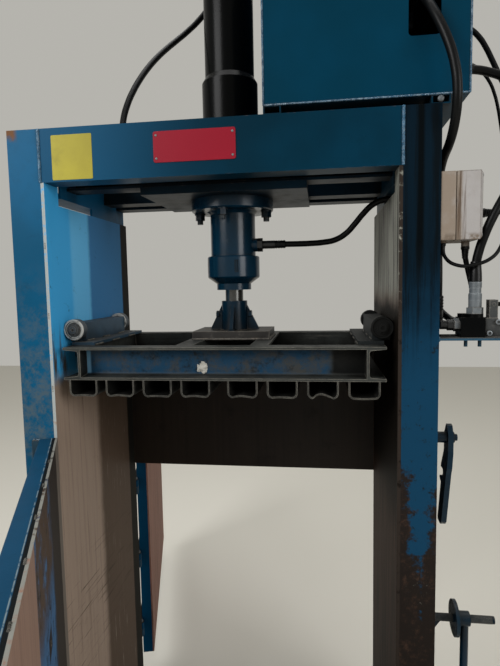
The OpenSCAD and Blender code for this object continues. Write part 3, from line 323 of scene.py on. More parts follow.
height = plus(g, times(g, noise(g, where, 260, 2, 0.5), 0.25), times(g, noise(g, where, 26, 5), 0.35))
height = minus(g, height, times(g, chips, 0.5))
give(g, out, {"Color": skin, "Roughness": rough, "Metallic": times(g, chips, 0.3), "Height": height})
print("group:", g.name)

# %% [markdown]
# Bare steel here is seldom bright: rolled black scale, rubbed grey where the waste slides past, and brown
# where it stood wet. One noise alone would look like camouflage. The group mixes noises of different sizes,
# and one that is stretched along a direction scores the surface the way the waste rubs it.

# %% Worked steel
worked_steel, given, out = new_group("worked steel", {
    **dict.fromkeys(("Steel", "Dark", "Rust", "Worn"), "Color"),
    **dict.fromkeys(("Dark amount", "Rust amount", "Corners"), "Float"), "Score": "Vector"}, SURFACE)
g = worked_steel
where = place(g)
scored = put(g, "VectorMath", {0: where, 1: given["Score"]}, operation="MULTIPLY").outputs["Vector"]
lines = noise(g, scored, 1.0, 8, 0.75)
dark_start = minus(g, 0.82, times(g, given["Dark amount"], 0.6))
scale_mask = fade(g, noise(g, where, 10, 8, 0.7), dark_start, 0.80)
skin = blend(g, scale_mask, given["Steel"], given["Dark"])
skin = blend(g, times(g, fade(g, lines, 0.46, 0.70), 0.55), skin, given["Dark"])
skin = blend(g, times(g, fade(g, lines, 0.44, 0.28), 0.22), skin, given["Worn"])
rust_start = minus(g, 0.84, times(g, given["Rust amount"], 0.6))
rust_mask = fade(g, noise(g, where, 24, 9, 0.74), rust_start, 0.80)
skin = blend(g, times(g, rust_mask, 0.8), skin, given["Rust"])
# Corners darken to near black: dirt and painted shade.
corners = put(g, "Group", {"Reach": 0.06, "Amount": given["Corners"]}, node_tree=corner_dirt_and_shade).outputs["Mask"]
skin = blend(g, corners, skin, colour(12, 11, 10))
worn_edge = put(g, "Group", {"Width": 0.0035, "Amount": 0.7}, node_tree=chipped_edges).outputs["Mask"]
skin = blend(g, times(g, worn_edge, 0.8), skin, given["Worn"])
rough = plus(g, 0.46, times(g, plus(g, rust_mask, scale_mask), 0.2))
height = plus(g, times(g, lines, 0.4), times(g, noise(g, where, 130, 5), 0.4))
height = plus(g, height, times(g, rust_mask, 0.3))
give(g, out, {"Color": skin, "Roughness": rough, "Metallic": times(g, worn_edge, 0.4), "Height": height})
print("group:", g.name)

# %% [markdown]
# A material is a group with its values set, a Bump node for the height and a Principled shader. The
# functions painted and bare take those values by name, so each finish is one statement that tells how it
# differs from the usual one. The colours are darker than the paint looks in the hand, because a soft light
# lays a grey shine over them.

# %% Materials from the groups
def shaded(name, inputs_of):
    """A material whose shader takes the inputs that a function makes in its node tree."""
    made = bpy.data.materials.new(name)
    made.use_nodes = True
    tree = made.node_tree
    tree.nodes.clear()
    shader = put(tree, "BsdfPrincipled", inputs_of(tree))
    put(tree, "OutputMaterial", {"Surface": shader.outputs["BSDF"]})
    return made


def from_group(name, group, values, shine):
    """A material that reads its colour, roughness, metal and height from a group."""
    def inputs_of(tree):
        worn = put(tree, "Group", values, node_tree=group).outputs
        relief = put(tree, "Bump", {"Height": worn["Height"], "Strength": 0.35, "Distance": 0.0012})
        return {"Base Color": worn["Color"], "Roughness": worn["Roughness"], "Metallic": worn["Metallic"],
                "Normal": relief.outputs["Normal"], "Specular IOR Level": shine}
    return shaded(name, inputs_of)


def painted(name, paint, shade, grime=0.35, streaks=0.25, chips=0.3, corners=0.7, dust=0.3, gloss=0.38,
            shine=0.16, dirt=(18, 20, 21), bare_tint=(104, 92, 82)):
    values = {"Paint": colour(*paint), "Shade": colour(*shade), "Dirt": colour(*dirt),
              "Bare": colour(*bare_tint), "Grime": grime, "Streaks": streaks, "Chips": chips,
              "Corners": corners, "Dust": dust, "Gloss": gloss}
    return from_group(name, worn_paint, values, shine)


def bare(name, steel, dark, rust=(70, 48, 35), worn=(150, 144, 136), dark_amount=0.5, rust_amount=0.4,
         corners=0.7, score=(90, 6, 90), shine=0.2):
    values = {"Steel": colour(*steel), "Dark": colour(*dark), "Rust": colour(*rust), "Worn": colour(*worn),
              "Dark amount": dark_amount, "Rust amount": rust_amount, "Corners": corners, "Score": score}
    return from_group(name, worked_steel, values, shine)


head_paint = painted("head paint", (0, 45, 65), (0, 34, 49), grime=0.3, streaks=0.35, chips=0.4, dust=0.5,
                     shine=0.06)
# Under the head the paint is made very dark, with full corner darkening: dirt and painted shade.
under_head_paint_and_shade = painted("paint and painted shade under the head", (10, 34, 48), (6, 16, 22), grime=0.7, streaks=0.2, chips=0.45,
                      corners=1.0, shine=0.08, dirt=(8, 9, 9))
housing_paint = painted("housing paint", (0, 50, 72), (0, 44, 62), grime=0.14, streaks=0.15, chips=0.25,
                        corners=0.4, shine=0.05)
cylinder_paint = painted("cylinder paint", (3, 44, 66), (2, 28, 42), grime=0.5, streaks=0.3, gloss=0.2,
                         shine=0.28, dirt=(3, 8, 10))
sill_paint = painted("sill paint", (36, 74, 96), (20, 44, 58), grime=0.7, chips=0.5, dust=0.7, gloss=0.5)
oiled_paint = painted("oiled paint", (6, 38, 56), (3, 22, 33), grime=0.55, streaks=0.3, chips=0.4,
                      gloss=0.25, shine=0.2, dust=0.15, dirt=(5, 8, 9))
black = painted("black paint", (3, 4, 5), (2, 3, 3), grime=0.2, chips=0.15, dust=0.1, gloss=0.24, shine=0.07,
                dirt=(9, 9, 8), bare_tint=(60, 58, 54))
motor_paint = painted("motor paint", (78, 84, 90), (58, 63, 68), grime=0.5)
turned_steel = bare("turned steel", (66, 74, 80), (34, 36, 38), dark_amount=0.4, rust_amount=0.3,
                    score=(12, 200, 12))
floor_steel = bare("floor steel", (86, 80, 74), (40, 34, 30), rust_amount=0.5)
dark_steel = bare("dark steel", (34, 35, 34), (13, 13, 12), dark_amount=0.6, worn=(150, 146, 136), shine=0.1)
zinc = bare("zinc plated steel", (84, 91, 96), (38, 42, 44), worn=(176, 182, 186), dark_amount=0.4,
            rust_amount=0.08, corners=0.8, score=(60, 60, 60), shine=0.6)
cast = bare("cast cover", (58, 60, 60), (24, 25, 25), rust_amount=0.1, score=(40, 40, 40), shine=0.12)
print("materials:", len(bpy.data.materials))

# %% [markdown]
# Some pieces don't wear evenly: the left wall is blue above and brown below, and rust climbs up the right
# post. Such a mark could be painted on a UV map. A layer is chosen instead, which stays readable: a tint, a
# roughness (None keeps what is there) and the parts of a mask, which all have to meet. A part is a small
# function that adds its own nodes. Most are limits along one coordinate, and a limit whose start is greater
# than its end works the other way round.

# %% Parts of a mask
def half(axis, sign):
    """1 on one side of the baler's middle."""
    return lambda tree, where, at: maths(tree, "GREATER_THAN", times(tree, at[axis], sign))


def read(tree, at, axis):
    """The value of an axis: a letter, or a function that works it out."""
    return axis(tree, at) if callable(axis) else at[axis]


def past(axis, start, end, ragged=0.0, scale=8):
    """0 before start and 1 past end along an axis, in metres. Noise shifts the border by up to ragged."""
    def part(tree, where, at):
        value = read(tree, at, axis)
        if ragged:
            shift = minus(tree, noise(tree, where, scale, 8, 0.7), 0.5)
            value = plus(tree, value, times(tree, shift, ragged * 2))
        return fade(tree, value, start, end)
    return part


def within(axis, low, high, edge=0.01):
    """1 between low and high along an axis, with soft ends."""
    def part(tree, where, at):
        value = read(tree, at, axis)
        after_low = fade(tree, value, low - edge, low + edge)
        return times(tree, after_low, fade(tree, value, high + edge, high - edge))
    return part


def faces(axis, sign):
    """1 where the surface faces along an axis, such as ("Y", -1) for the front."""
    def part(tree, where, at):
        normal = put(tree, "NewGeometry").outputs["Normal"]
        along = put(tree, "SeparateXYZ", {"Vector": normal}).outputs[axis]
        return maths(tree, "GREATER_THAN", times(tree, along, sign), 0.5)
    return part


def speckled(low, high, scale, detail=4.0, roughness=0.6):
    """Patches where noise rises above a soft limit."""
    return lambda tree, where, at: fade(tree, noise(tree, where, scale, detail, roughness), low, high)


def streaked(low, high, scale):
    """Broken lines along one direction, from noise with a scale for each axis."""
    def part(tree, where, at):
        return fade(tree, noise(tree, stretch(tree, where, scale), 1.0, 7, 0.72), low, high)
    return part


def outside(part):
    """1 where another part is 0."""
    return lambda tree, where, at: minus(tree, 1.0, part(tree, where, at))


print("mask parts ready")

# %% [markdown]
# A layer is a Mix node between what the shader reads so far and the tint. Layers add up in the order in
# which they are written, as coats of paint and dirt do.

# %% A layer over a finish
def shader_of(made):
    return next(n for n in made.node_tree.nodes if n.type == "BSDF_PRINCIPLED")


def over(made, tint, roughness, *parts):
    """Lays a layer over what the material's shader reads so far."""
    tree = made.node_tree
    shader = shader_of(made)
    where = place(tree)
    at = put(tree, "SeparateXYZ", {"Vector": where}).outputs
    mask = times(tree, *(part(tree, where, at) for part in parts))
    before = shader.inputs["Base Color"].links[0].from_socket
    tree.links.new(blend(tree, mask, before, colour(*tint)), shader.inputs["Base Color"])
    if roughness is not None:
        rough_before = shader.inputs["Roughness"].links[0].from_socket
        mixed = put(tree, "Mix", {0: mask, 2: rough_before, 3: roughness}).outputs[0]
        tree.links.new(mixed, shader.inputs["Roughness"])


right_half, left_half, rear_half = half("X", 1), half("X", -1), half("Y", 1)
on_front, on_top = faces("Y", -1), faces("Z", 1)
print("layers ready")

# %% [markdown]
# The square posts are what one sees first. The left one is rubbed pale low down. The right one is painted
# darker all over as shade, is dark with oil above the opening, and below it rust comes in from both edges,
# so that its paint ends in a tongue. Both sides are in one node, so each mark is kept to its half.

# %% Posts, both sides in one node, and painted light on the head's left end
posts = painted("post paint", (2, 80, 118), (3, 68, 99), grime=0.38, chips=0.45, shine=0.07)
TONGUE_X, TONGUE_END, TONGUE_SLOPE = 0.468, 0.86, 6.0


def tongue(tree, at):
    """Height over two lines that fall from the right post's middle, so that paint stays as a tongue."""
    off = maths(tree, "ABSOLUTE", minus(tree, at["X"], TONGUE_X))
    return minus(tree, at["Z"], times(tree, off, TONGUE_SLOPE))


oily = (right_half, past("Z", 1.28, 1.56, 0.10, 6))
rusty = (right_half, past(tongue, TONGUE_END + 0.02, TONGUE_END - 0.06, 0.5, 13))
# Painted shade: the right post is a darker blue all over.
over(posts, (12, 54, 80), None, right_half)
over(posts, (2, 20, 32), 0.34, *oily)
over(posts, (3, 11, 17), 0.3, *oily, streaked(0.46, 0.60, (46, 46, 1.8)))
over(posts, (1, 5, 8), 0.25, within("X", 0.450, 0.464, 0.004), past("Z", 1.50, 1.60, 0.04, 30))
over(posts, (18, 24, 27), 0.5, right_half, past("Z", 1.5, 1.3, 0.05), speckled(0.58, 0.64, 60, 9, 0.8))
over(posts, (30, 25, 22), 0.7, *rusty)
over(posts, (58, 43, 35), 0.8, *rusty, speckled(0.50, 0.66, 40, 10, 0.82))
over(posts, (96, 92, 86), 0.5, within("X", 0.435, 0.480, 0.006), within("Z", 0.755, 0.815),
     speckled(0.60, 0.66, 110, 6, 0.8))
over(posts, (62, 80, 92), 0.5, left_half, past("Z", 1.62, 1.20, 0.12, 5), speckled(0.42, 0.62, 22, 9, 0.78))
over(posts, (104, 74, 52), 0.7, left_half, past("Z", 1.853, 1.868, 0.02, 40), past("X", -0.470, -0.485))
# Painted light: the head beam turns lighter towards its left end, where the light falls.
over(head_paint, (8, 68, 100), None, past("X", 0.05, -0.40), speckled(0.2, 0.5, 3))
print("posts ready")

# %% [markdown]
# The walls are plates that guide the platen. The left one has kept bright paint above the height that the
# waste reaches, and is polished brown below. The right one is rubbed pale by the rollers above and dark
# with grease below. The streaks run upright, the way the platen drags the waste, and low on the left a few
# scratches slant. On the left wall an upright band is painted lighter, the wall behind it darker and its
# rear corner dark: painted light and painted shade.

# %% Walls, both sides in one node
walls = bare("wall steel", (150, 132, 118), (128, 110, 96), (124, 96, 78), worn=(166, 152, 140),
             dark_amount=0.35, rust_amount=0.3, corners=0.45, score=(70, 70, 2.4), shine=0.04)
PAINT_END = 1.28
RUB_LOW, RUB_HIGH = 1.43, 1.50
SCRATCH_TURN = 0.6


def scratched(tree, where, at):
    """Long slanting scratches."""
    slanted = put(tree, "Mapping", {"Vector": where, "Rotation": (SCRATCH_TURN, 0, 0), "Scale": (1, 5, 240)})
    return fade(tree, noise(tree, slanted.outputs["Vector"], 1.0), 0.60, 0.66)


blue_part = (left_half, past("Z", PAINT_END - 0.03, PAINT_END + 0.02, 0.04, 14))
brown_part = (left_half, past("Z", PAINT_END + 0.02, PAINT_END - 0.03, 0.04, 14))
rubbed = (right_half, past("Z", RUB_LOW, RUB_HIGH, 0.03))
greasy = (right_half, past("Z", RUB_HIGH, RUB_LOW, 0.03))
front_edge = (on_front, speckled(0.30, 0.46, 60, 6, 0.7))
# Painted shadow: the brown wall is darker behind an upright line near the front.
over(walls, (82, 68, 57), None, *brown_part, past("Y", -0.04, 0.0, 0.012, 12))
over(walls, (96, 80, 68), None, *brown_part, streaked(0.54, 0.74, (90, 90, 2.2)))
over(walls, (148, 136, 124), None, *brown_part, streaked(0.60, 0.70, (160, 160, 6)))
over(walls, (58, 46, 38), None, left_half, within("Z", 0.44, 0.74, 0.08), scratched)
over(walls, (58, 156, 212), 0.42, *blue_part)
# Painted light and painted shadow on the blue: a lighter upright band, then darker blue behind the same
# line.
over(walls, (92, 172, 218), 0.42, *blue_part, past("Y", -0.15, -0.13, 0.006, 12))
over(walls, (52, 110, 156), 0.5, *blue_part, past("Y", -0.045, -0.02, 0.01, 12))
over(walls, (22, 30, 34), 0.55, *blue_part, speckled(0.60, 0.70, 26, 9, 0.8))
over(walls, (70, 66, 60), 0.55, *blue_part, past("Z", 1.45, 1.31, 0.1, 9), streaked(0.50, 0.60, (70, 70, 5)))
# Painted shade: the left wall is dark in its rear corner.
over(walls, (30, 29, 26), 0.6, left_half, past("Y", 0.20, 0.21, 0.004, 30))
over(walls, (132, 132, 123), 0.5, *rubbed)
over(walls, (46, 45, 42), 0.55, *rubbed, streaked(0.46, 0.60, (120, 120, 3)))
over(walls, (15, 12, 9), 0.6, *greasy)
over(walls, (32, 25, 19), 0.6, *greasy, streaked(0.54, 0.68, (90, 90, 3)))
over(walls, (62, 48, 40), 0.6, right_half, past("Z", 1.02, 0.86, 0.05), streaked(0.36, 0.60, (90, 90, 2.4)))
over(walls, (150, 156, 156), 0.4, left_half, *front_edge)
over(walls, (44, 38, 34), 0.6, right_half, *front_edge)
over(walls, (30, 44, 54), 0.6, left_half, faces("X", -1))
over(walls, (26, 36, 44), 0.6, right_half, faces("X", 1))
back_wall = bare("back wall steel", (34, 27, 21), (17, 12, 9), (50, 35, 25), worn=(70, 56, 44),
                 dark_amount=0.45, rust_amount=0.45, corners=0.4, score=(60, 60, 2))
print("walls ready")

# %% [markdown]
# The front door stands open at an angle, so its marks follow two axes of its own: along the door from its
# hinge, and inward from its outer line. A UV map could carry them, but two sums of the coordinates do the
# same and stay exact. The waste never rubs the strip near the door's free edge, which has kept its paint.

# %% Doors
DOOR_TURN = math.radians(-65)
HINGE_X, HINGE_Y = -0.433, -0.305


def door_axis(across, inward):
    """An axis in metres from the front door's hinge, as a share of the X axis and a share of the Y axis."""
    def axis(tree, at):
        part_x = times(tree, minus(tree, at["X"], HINGE_X), across)
        return plus(tree, part_x, times(tree, minus(tree, at["Y"], HINGE_Y), inward))
    return axis


along_door = door_axis(math.cos(DOOR_TURN), math.sin(DOOR_TURN))
off_door = door_axis(-math.sin(DOOR_TURN), math.cos(DOOR_TURN))
door_paint = painted("door paint", (5, 60, 90), (4, 51, 76), grime=0.3, streaks=0.2, chips=0.5, dust=0.03,
                     corners=0.5, shine=0.05, bare_tint=(110, 112, 108))
over(door_paint, (14, 18, 20), 0.6, on_top, past(off_door, 0.0315, 0.0325, 0.0016, 30))
over(door_paint, (104, 118, 124), 0.5, on_top, within(off_door, 0.0295, 0.0312, 0.0004),
     speckled(0.40, 0.52, 70, 6))
door_steel = bare("door steel", (132, 104, 90), (96, 72, 60), (112, 76, 58), dark_amount=0.35,
                  shine=0.06, corners=0.4, score=(60, 60, 3))
strip = (past(along_door, 0.30, 0.34, 0.06, 14), past(along_door, 0.568, 0.562, 0.003, 30))
over(door_steel, (48, 43, 40), 0.65, past(along_door, 0.40, 0.34, 0.05, 14))
over(door_steel, (112, 104, 96), 0.6, past(along_door, 0.12, 0.11, 0.01, 30))
over(door_steel, (6, 84, 132), 0.42, *strip)
over(door_steel, (78, 64, 54), 0.7, *strip, past("Z", 0.92, 1.02, 0.05, 12),
     speckled(0.34, 0.50, 16, 9, 0.75))
over(door_steel, (40, 36, 34), 0.7, *strip, speckled(0.53, 0.60, 30, 10, 0.82))
over(door_steel, (44, 36, 31), 0.75, within(along_door, 0.40, 0.45, 0.004), within("Z", 0.885, 0.925, 0.004))
over(door_steel, (124, 124, 118), 0.5, on_top, speckled(0.34, 0.5, 50, 6))
over(door_steel, (132, 96, 84), 0.6, rear_half, outside(on_top))
over(door_steel, (92, 66, 56), 0.6, rear_half, streaked(0.46, 0.66, (70, 70, 3)))
print("door finishes ready")

# %% [markdown]
# The platen is made of rolled channels. Its front web has kept a field of paint between a bare left end and
# a right end that is painted near black as shadow, with rust and scale breaking into the paint. Its mask is
# a box in space, for faces that look forward only, so the plate and the ribs beside it stay bare.

# %% Platen and block
platen_steel = bare("platen steel", (52, 54, 52), (22, 23, 22), dark_amount=0.6, rust_amount=0.35,
                    corners=0.9, worn=(150, 146, 136), score=(6, 90, 90), shine=0.1)
PAINT_STOP = 0.262
front_web = (on_front, within("Z", 1.289, 1.347, 0.004), within("Y", -0.22, -0.20, 0.004))
over(platen_steel, (16, 56, 82), 0.5, *front_web, within("X", -0.355, PAINT_STOP, 0.012))
over(platen_steel, (58, 56, 50), 0.6, *front_web, speckled(0.44, 0.62, 11, 10, 0.78))
over(platen_steel, (14, 16, 16), 0.6, *front_web, speckled(0.50, 0.66, 24, 10, 0.82))
# Painted shadow: the web's right end, past the paint, is near black.
over(platen_steel, (4, 5, 5), 0.6, *front_web, past("X", PAINT_STOP, PAINT_STOP + 0.012))
over(platen_steel, (92, 132, 158), 0.5, *front_web, within("X", -0.346, -0.334, 0.003))
block_steel = bare("block steel", (46, 44, 42), (26, 25, 24), worn=(150, 144, 134), score=(30, 30, 30))
over(block_steel, (104, 96, 86), 0.7, on_top, speckled(0.50, 0.58, 26, 9, 0.8))
print("platen finishes ready")

# %% [markdown]
# The rollers are turned from bar, and the rims of the left ones are still bright. A loop of faces could
# take a second material. A ring is chosen here: the distance from the axle lies between two limits.

# %% Roller bars and the turned rims of the left rollers
ROLLER_X, ROLLER_Z = 0.3847, 1.397


def from_axle(tree, at):
    """Distance from the axle of the left rollers."""
    flat = put(tree, "CombineXYZ", {"X": at["X"], "Z": at["Z"]}).outputs["Vector"]
    axle = (-ROLLER_X, 0, ROLLER_Z)
    return put(tree, "VectorMath", {0: flat, 1: axle}, operation="DISTANCE").outputs["Value"]


roller_paint = painted("roller bar paint", (34, 68, 90), (22, 46, 60), grime=0.5, chips=0.5, dust=0.5,
                       dirt=(20, 21, 21))
over(roller_paint, (24, 28, 29), 0.6, right_half)
over(turned_steel, (9, 10, 9), 0.6, past("X", 0.2, 0.21), speckled(0.20, 0.4, 40, 7))
over(turned_steel, (168, 168, 164), 0.5, on_front, within(from_axle, 0.0185, 0.030, 0.0006),
     speckled(0.3, 0.5, 60, 6))
print("roller finishes ready")

# %% [markdown]
# Rubber and chrome wear little. A tone that drifts is enough for them, with a fine bump on the rubber,
# while the switch box, the plates and the weld beads take the groups again, with values of their own.

# %% Simple finishes
def plain(name, base, roughness, metallic=0.0, grain=0.0, relief=0.0, shine=0.3):
    """A finish whose tone drifts a little and whose surface may be grained."""
    def inputs_of(tree):
        where = place(tree)
        drift = fade(tree, noise(tree, where, 30, 8, 0.7), 0.4, 0.72)
        tint = blend(tree, drift, colour(*base), colour(*(c * 0.72 for c in base)))
        inputs = {"Base Color": tint, "Roughness": roughness, "Metallic": metallic,
                  "Specular IOR Level": shine}
        if relief:
            height = noise(tree, where, grain, 3)
            bump = put(tree, "Bump", {"Height": height, "Strength": relief, "Distance": 0.0004})
            inputs["Normal"] = bump.outputs["Normal"]
        return inputs
    return shaded(name, inputs_of)


chrome = plain("ground rod", (92, 92, 90), 0.2, 0.9)
rubber = plain("black rubber", (5, 6, 7), 0.38, 0.0, 700, 0.25, 0.14)
cable_skin = plain("cable sheath", (6, 7, 8), 0.44, 0.0, 400, 0.12, 0.14)
box_shell = painted("switch box plastic", (154, 151, 150), (136, 131, 127), grime=0.3, streaks=0.62,
                    chips=0.0, corners=0.6, dust=0.2, gloss=0.5, dirt=(104, 90, 76))
over(box_shell, (128, 116, 104), 0.6, past("X", 0.548, 0.540), speckled(0.30, 0.55, 9, 6))
over(box_shell, (84, 70, 58), 0.6, within("X", 0.533, 0.553, 0.003), streaked(0.40, 0.62, (160, 160, 5)))
over(box_shell, (104, 92, 80), 0.6, within("Z", 1.585, 1.604, 0.006), speckled(0.40, 0.6, 60, 6))
black_part = plain("black fitting", (6, 7, 8), 0.34, 0.0, 300, 0.2, 0.2)
red_plate = painted("red plate enamel", (142, 16, 38), (126, 13, 33), grime=0.15, streaks=0.15, dust=0.1,
                    bare_tint=(190, 180, 172))
yellow_plate = painted("yellow plate enamel", (160, 150, 46), (138, 128, 40), grime=0.5, streaks=0.2,
                       chips=0.35, dust=0.1, dirt=(74, 72, 52))
# The beads are a lighter blue and chip to a pale tint, for highlights on the ripples and bare metal: painted
# highlight and wear.
weld_paint_and_highlight = painted("painted weld and highlights", (40, 98, 132), (14, 58, 84), chips=0.8, corners=0.5, shine=0.4,
                     gloss=0.2, bare_tint=(150, 166, 176))
weld_steel = bare("weld metal", (112, 106, 98), (58, 52, 46), dark_amount=0.4, score=(80, 80, 80))
waste_grey = plain("stuck waste", (176, 174, 166), 0.9, 0.0, 160, 0.5)
print("finishes ready")

# %% [markdown]
# The hydraulic fittings are blackened, and at each place one hexagon of zinc shows. They are one node, so
# the bright ones are simply what no dark layer covers.

# %% Fittings: black but for one bright hexagon at each place
fitting_steel = bare("fitting steel", (92, 98, 102), (52, 56, 58), dark_amount=0.35, rust_amount=0.08,
                     corners=0.8, score=(60, 60, 60), shine=0.5)
below_head = past("Z", 1.70, 1.69)
over(fitting_steel, (10, 11, 12), 0.35, past("X", 0.30, 0.29), below_head)
over(fitting_steel, (10, 11, 12), 0.35, within("X", 0.500, 0.5385, 0.0006), below_head)
over(fitting_steel, (14, 15, 16), 0.4, past("Y", -0.195, -0.190), past("Z", 1.43, 1.42))
over(fitting_steel, (12, 13, 14), 0.4, past("Z", 2.30, 2.32))
over(fitting_steel, (30, 31, 31), 0.5, past("X", 0.54, 0.55), past("Z", 1.95, 1.96))
print("fittings ready")

# %% [markdown]
# The frame's nodes keep their meshes. One table says which finish each takes, and a loop puts it in their
# slots.

# %% The finish of each node
FINISHES = (
    (posts, "front_posts rear_posts"),
    (head_paint, "head_front_beam head_rails housing_rails"),
    (under_head_paint_and_shade, "head_inner_beams cylinder_plate"),
    (housing_paint, "power_housing housing_lid"),
    (cylinder_paint, "cylinder_flange cylinder_barrel cylinder_gland"),
    (sill_paint, "side_braces base_sills valve_shelf front_hinge_lugs rear_hinge_lugs"),
    (oiled_paint, "rod_bracket latch_lever lock_nut lock_mounts flange_bolts"),
    (roller_paint, "roller_bars"),
    (black, "cylinder_sleeve cylinder_cap valve_body valve_lever"),
    (motor_paint, "oil_tank pump_set"),
    (door_paint, "front_door_pan rear_door_pan"),
    (door_steel, "front_door_plate rear_door_plate"),
    (walls, "side_liners"),
    (back_wall, "rear_panel"),
    (floor_steel, "chamber_floor"),
    (platen_steel, "platen_channels"),
    (block_steel, "platen_block"),
    (dark_steel, "platen_plate platen_ribs"),
    (turned_steel, "roller_front_left roller_front_right roller_rear_left roller_rear_right"),
    (turned_steel, "roller_axles hinge_pins"),
    (chrome, "piston_rod"),
    (box_shell, "box_base box_lid"),
    (cast, "valve_cover"),
    (fitting_steel, "hydraulic_fittings"),
)
for finish, names in FINISHES:
    for name in names.split():
        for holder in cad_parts[name].material_slots:
            holder.material = finish
for run in hoses:
    run.data.materials.append(cable_skin if "cable" in run.name else rubber)
print("painted:", sum(len(names.split()) for finish, names in FINISHES))

# %% [markdown]
# A fitter's small parts are turned on a lathe: ferrules, sleeves and screw heads. Each starts as a flat
# disc that is extruded along its axis and resized ring by ring, which is how a lathe profile is read from
# one end to the other. A Screw modifier could spin an outline, but it leaves the ends open.

# %% Turned pieces
def fresh():
    """Nothing is selected, so that an operator acts only on what is added next."""
    bpy.ops.object.select_all(action="DESELECT")


def edit(action):
    """Opens the active mesh with everything or nothing selected."""
    bpy.ops.object.mode_set(mode="EDIT")
    bpy.ops.mesh.select_all(action=action)


def close_mesh():
    """Turns every face outward and leaves the mesh."""
    bpy.ops.mesh.select_all(action="SELECT")
    bpy.ops.mesh.normals_make_consistent(inside=False)
    bpy.ops.object.mode_set(mode="OBJECT")


def modify(piece, kind, **values):
    """Adds a modifier, sets its values and applies it."""
    made = piece.modifiers.new("shape", kind)
    for name, value in values.items():
        setattr(made, name, value)
    bpy.ops.object.modifier_apply(modifier=made.name)


def settle(piece, name, look, base=(0, 0, 0), axis=None, body="frame"):
    """Puts the place and the turn into the mesh, names the piece, and gives it its look and its body."""
    finish, slot = look
    moved(piece, base, axis)
    piece.name = name
    piece.data.materials.clear()
    piece.data.materials.append(finish)
    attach(piece, body)


def turned(profile, sides=28):
    """A closed solid of revolution on the Z axis from (distance, radius) pairs in millimetres."""
    fresh()
    at, radius = profile[0]
    bpy.ops.mesh.primitive_circle_add(vertices=sides, radius=radius * MM, fill_type="NGON",
                                      location=(0, 0, at * MM))
    piece = bpy.context.object
    bpy.ops.object.transform_apply(location=True)
    edit("SELECT")
    for along, wide in profile[1:]:
        bpy.ops.mesh.extrude_region_move(TRANSFORM_OT_translate={"value": (0, 0, (along - at) * MM)})
        share = wide / radius
        bpy.ops.transform.resize(value=(share, share, 1), center_override=(0, 0, along * MM))
        at, radius = along, wide
    close_mesh()
    bpy.ops.object.shade_smooth_by_angle(angle=math.radians(35))
    return piece


def joined(pieces):
    """Several pieces as one."""
    fresh()
    for piece in pieces:
        piece.select_set(True)
    bpy.context.view_layer.objects.active = pieces[0]
    if len(pieces) > 1:
        bpy.ops.object.join()
    return bpy.context.view_layer.objects.active


def moved(piece, base, axis=None):
    """Turns a piece's Z axis to a direction, if one is given, and takes it to a place in millimetres."""
    turn = Vector(axis).to_track_quat("Z", "Y").to_matrix().to_4x4() if axis else Matrix.Identity(4)
    piece.matrix_world = Matrix.Translation(Vector(base) * MM) @ turn
    bpy.context.view_layer.update()
    fresh()
    piece.select_set(True)
    bpy.context.view_layer.objects.active = piece
    bpy.ops.object.transform_apply(location=True, rotation=True, scale=True)
    return piece


black_look = (black_part, "black_paint")
zinc_look = (zinc, "zinc_steel")
dark_look = (dark_steel, "worn_steel")
print("turning helpers ready")

# %% [markdown]
# Each hose ends in a ferrule that was pressed on in a ring of narrow bands, and each cable leaves its gland
# through a short tapered sleeve. The return hose starts in a stepped crimp under a rubber sleeve. All are
# turned from a profile and set on an end of the run, along its direction there.

# %% Ferrules and sleeves
def ferrule(hose):
    """Pressed bands on a sleeve a little wider than the hose."""
    profile = [(-6, hose + 1.5), (-5, hose + 3)]
    for start in (-2, 5, 12, 19):
        profile += [(start, hose + 3), (start + 0.8, hose + 2.2), (start + 3.6, hose + 2.2),
                    (start + 4.4, hose + 3)]
    return turned(profile + [(27, hose + 2.8), (29, hose + 1.2)])


def sleeve(cable):
    """A domed gland nut and a ribbed sleeve that narrows towards the cable."""
    profile = [(-2, cable + 2.2), (0, cable + 3.4), (5, cable + 3.4), (7, cable + 2.2)]
    for i in range(5):
        rib = 8 + 3.6 * i
        wide = cable + 2.0 - 0.3 * i
        profile += [(rib, wide - 0.7), (rib + 0.4, wide), (rib + 2.2, wide), (rib + 2.6, wide - 0.7)]
    return turned(profile + [(26.5, cable + 0.4)])


FIRST, LAST = 0, -1
RIGHT, FRONT, BACK, UP, DOWN = (1, 0, 0), (0, -1, 0), (0, 1, 0), (0, 0, 1), (0, 0, -1)
RUN_ENDS = (
    ("ferrule_cap_port", "hose_cap_side", FIRST, DOWN),
    ("ferrule_rod_port", "hose_rod_side", FIRST, RIGHT),
    ("ferrule_pump", "hose_pressure", FIRST, FRONT),
    ("ferrule_side_port", "hose_pressure", LAST, UP),
    ("ferrule_back_port_a", "hose_cap_side", LAST, BACK),
    ("ferrule_back_port_b", "hose_rod_side", LAST, BACK),
    ("ferrule_tank_return", "hose_return", LAST, RIGHT),
    ("sleeve_motor_box", "cable_motor", FIRST, RIGHT),
    ("sleeve_motor_housing", "cable_motor", LAST, RIGHT),
    ("sleeve_limit_box", "cable_limit", FIRST, DOWN),
    ("sleeve_limit_housing", "cable_limit", LAST, RIGHT),
    ("sleeve_switch_box", "cable_switch", FIRST, DOWN),
    ("sleeve_switch_valve", "cable_switch", LAST, UP),
)
for name, run, end, axis in RUN_ENDS:
    diameter, stiffness, points = ROUTES[run]
    make = ferrule if "hose" in run else sleeve
    settle(make(diameter / 2), name, black_look, points[end], axis)
return_base = ROUTES["hose_return"][2][FIRST]
settle(turned([(-8, 12), (-7, 14.2), (8, 14.2), (9, 12.6), (20, 12.6), (21, 13.6), (34, 13.6), (35, 11.5)]),
       "crimp_return", zinc_look, return_base)
settle(turned([(34, 12), (35.5, 13.8), (52, 13.2), (78, 11.2), (80, 10.3)]), "sleeve_return",
       (black_part, "black_rubber"), return_base)
print("run ends:", len(RUN_ENDS))

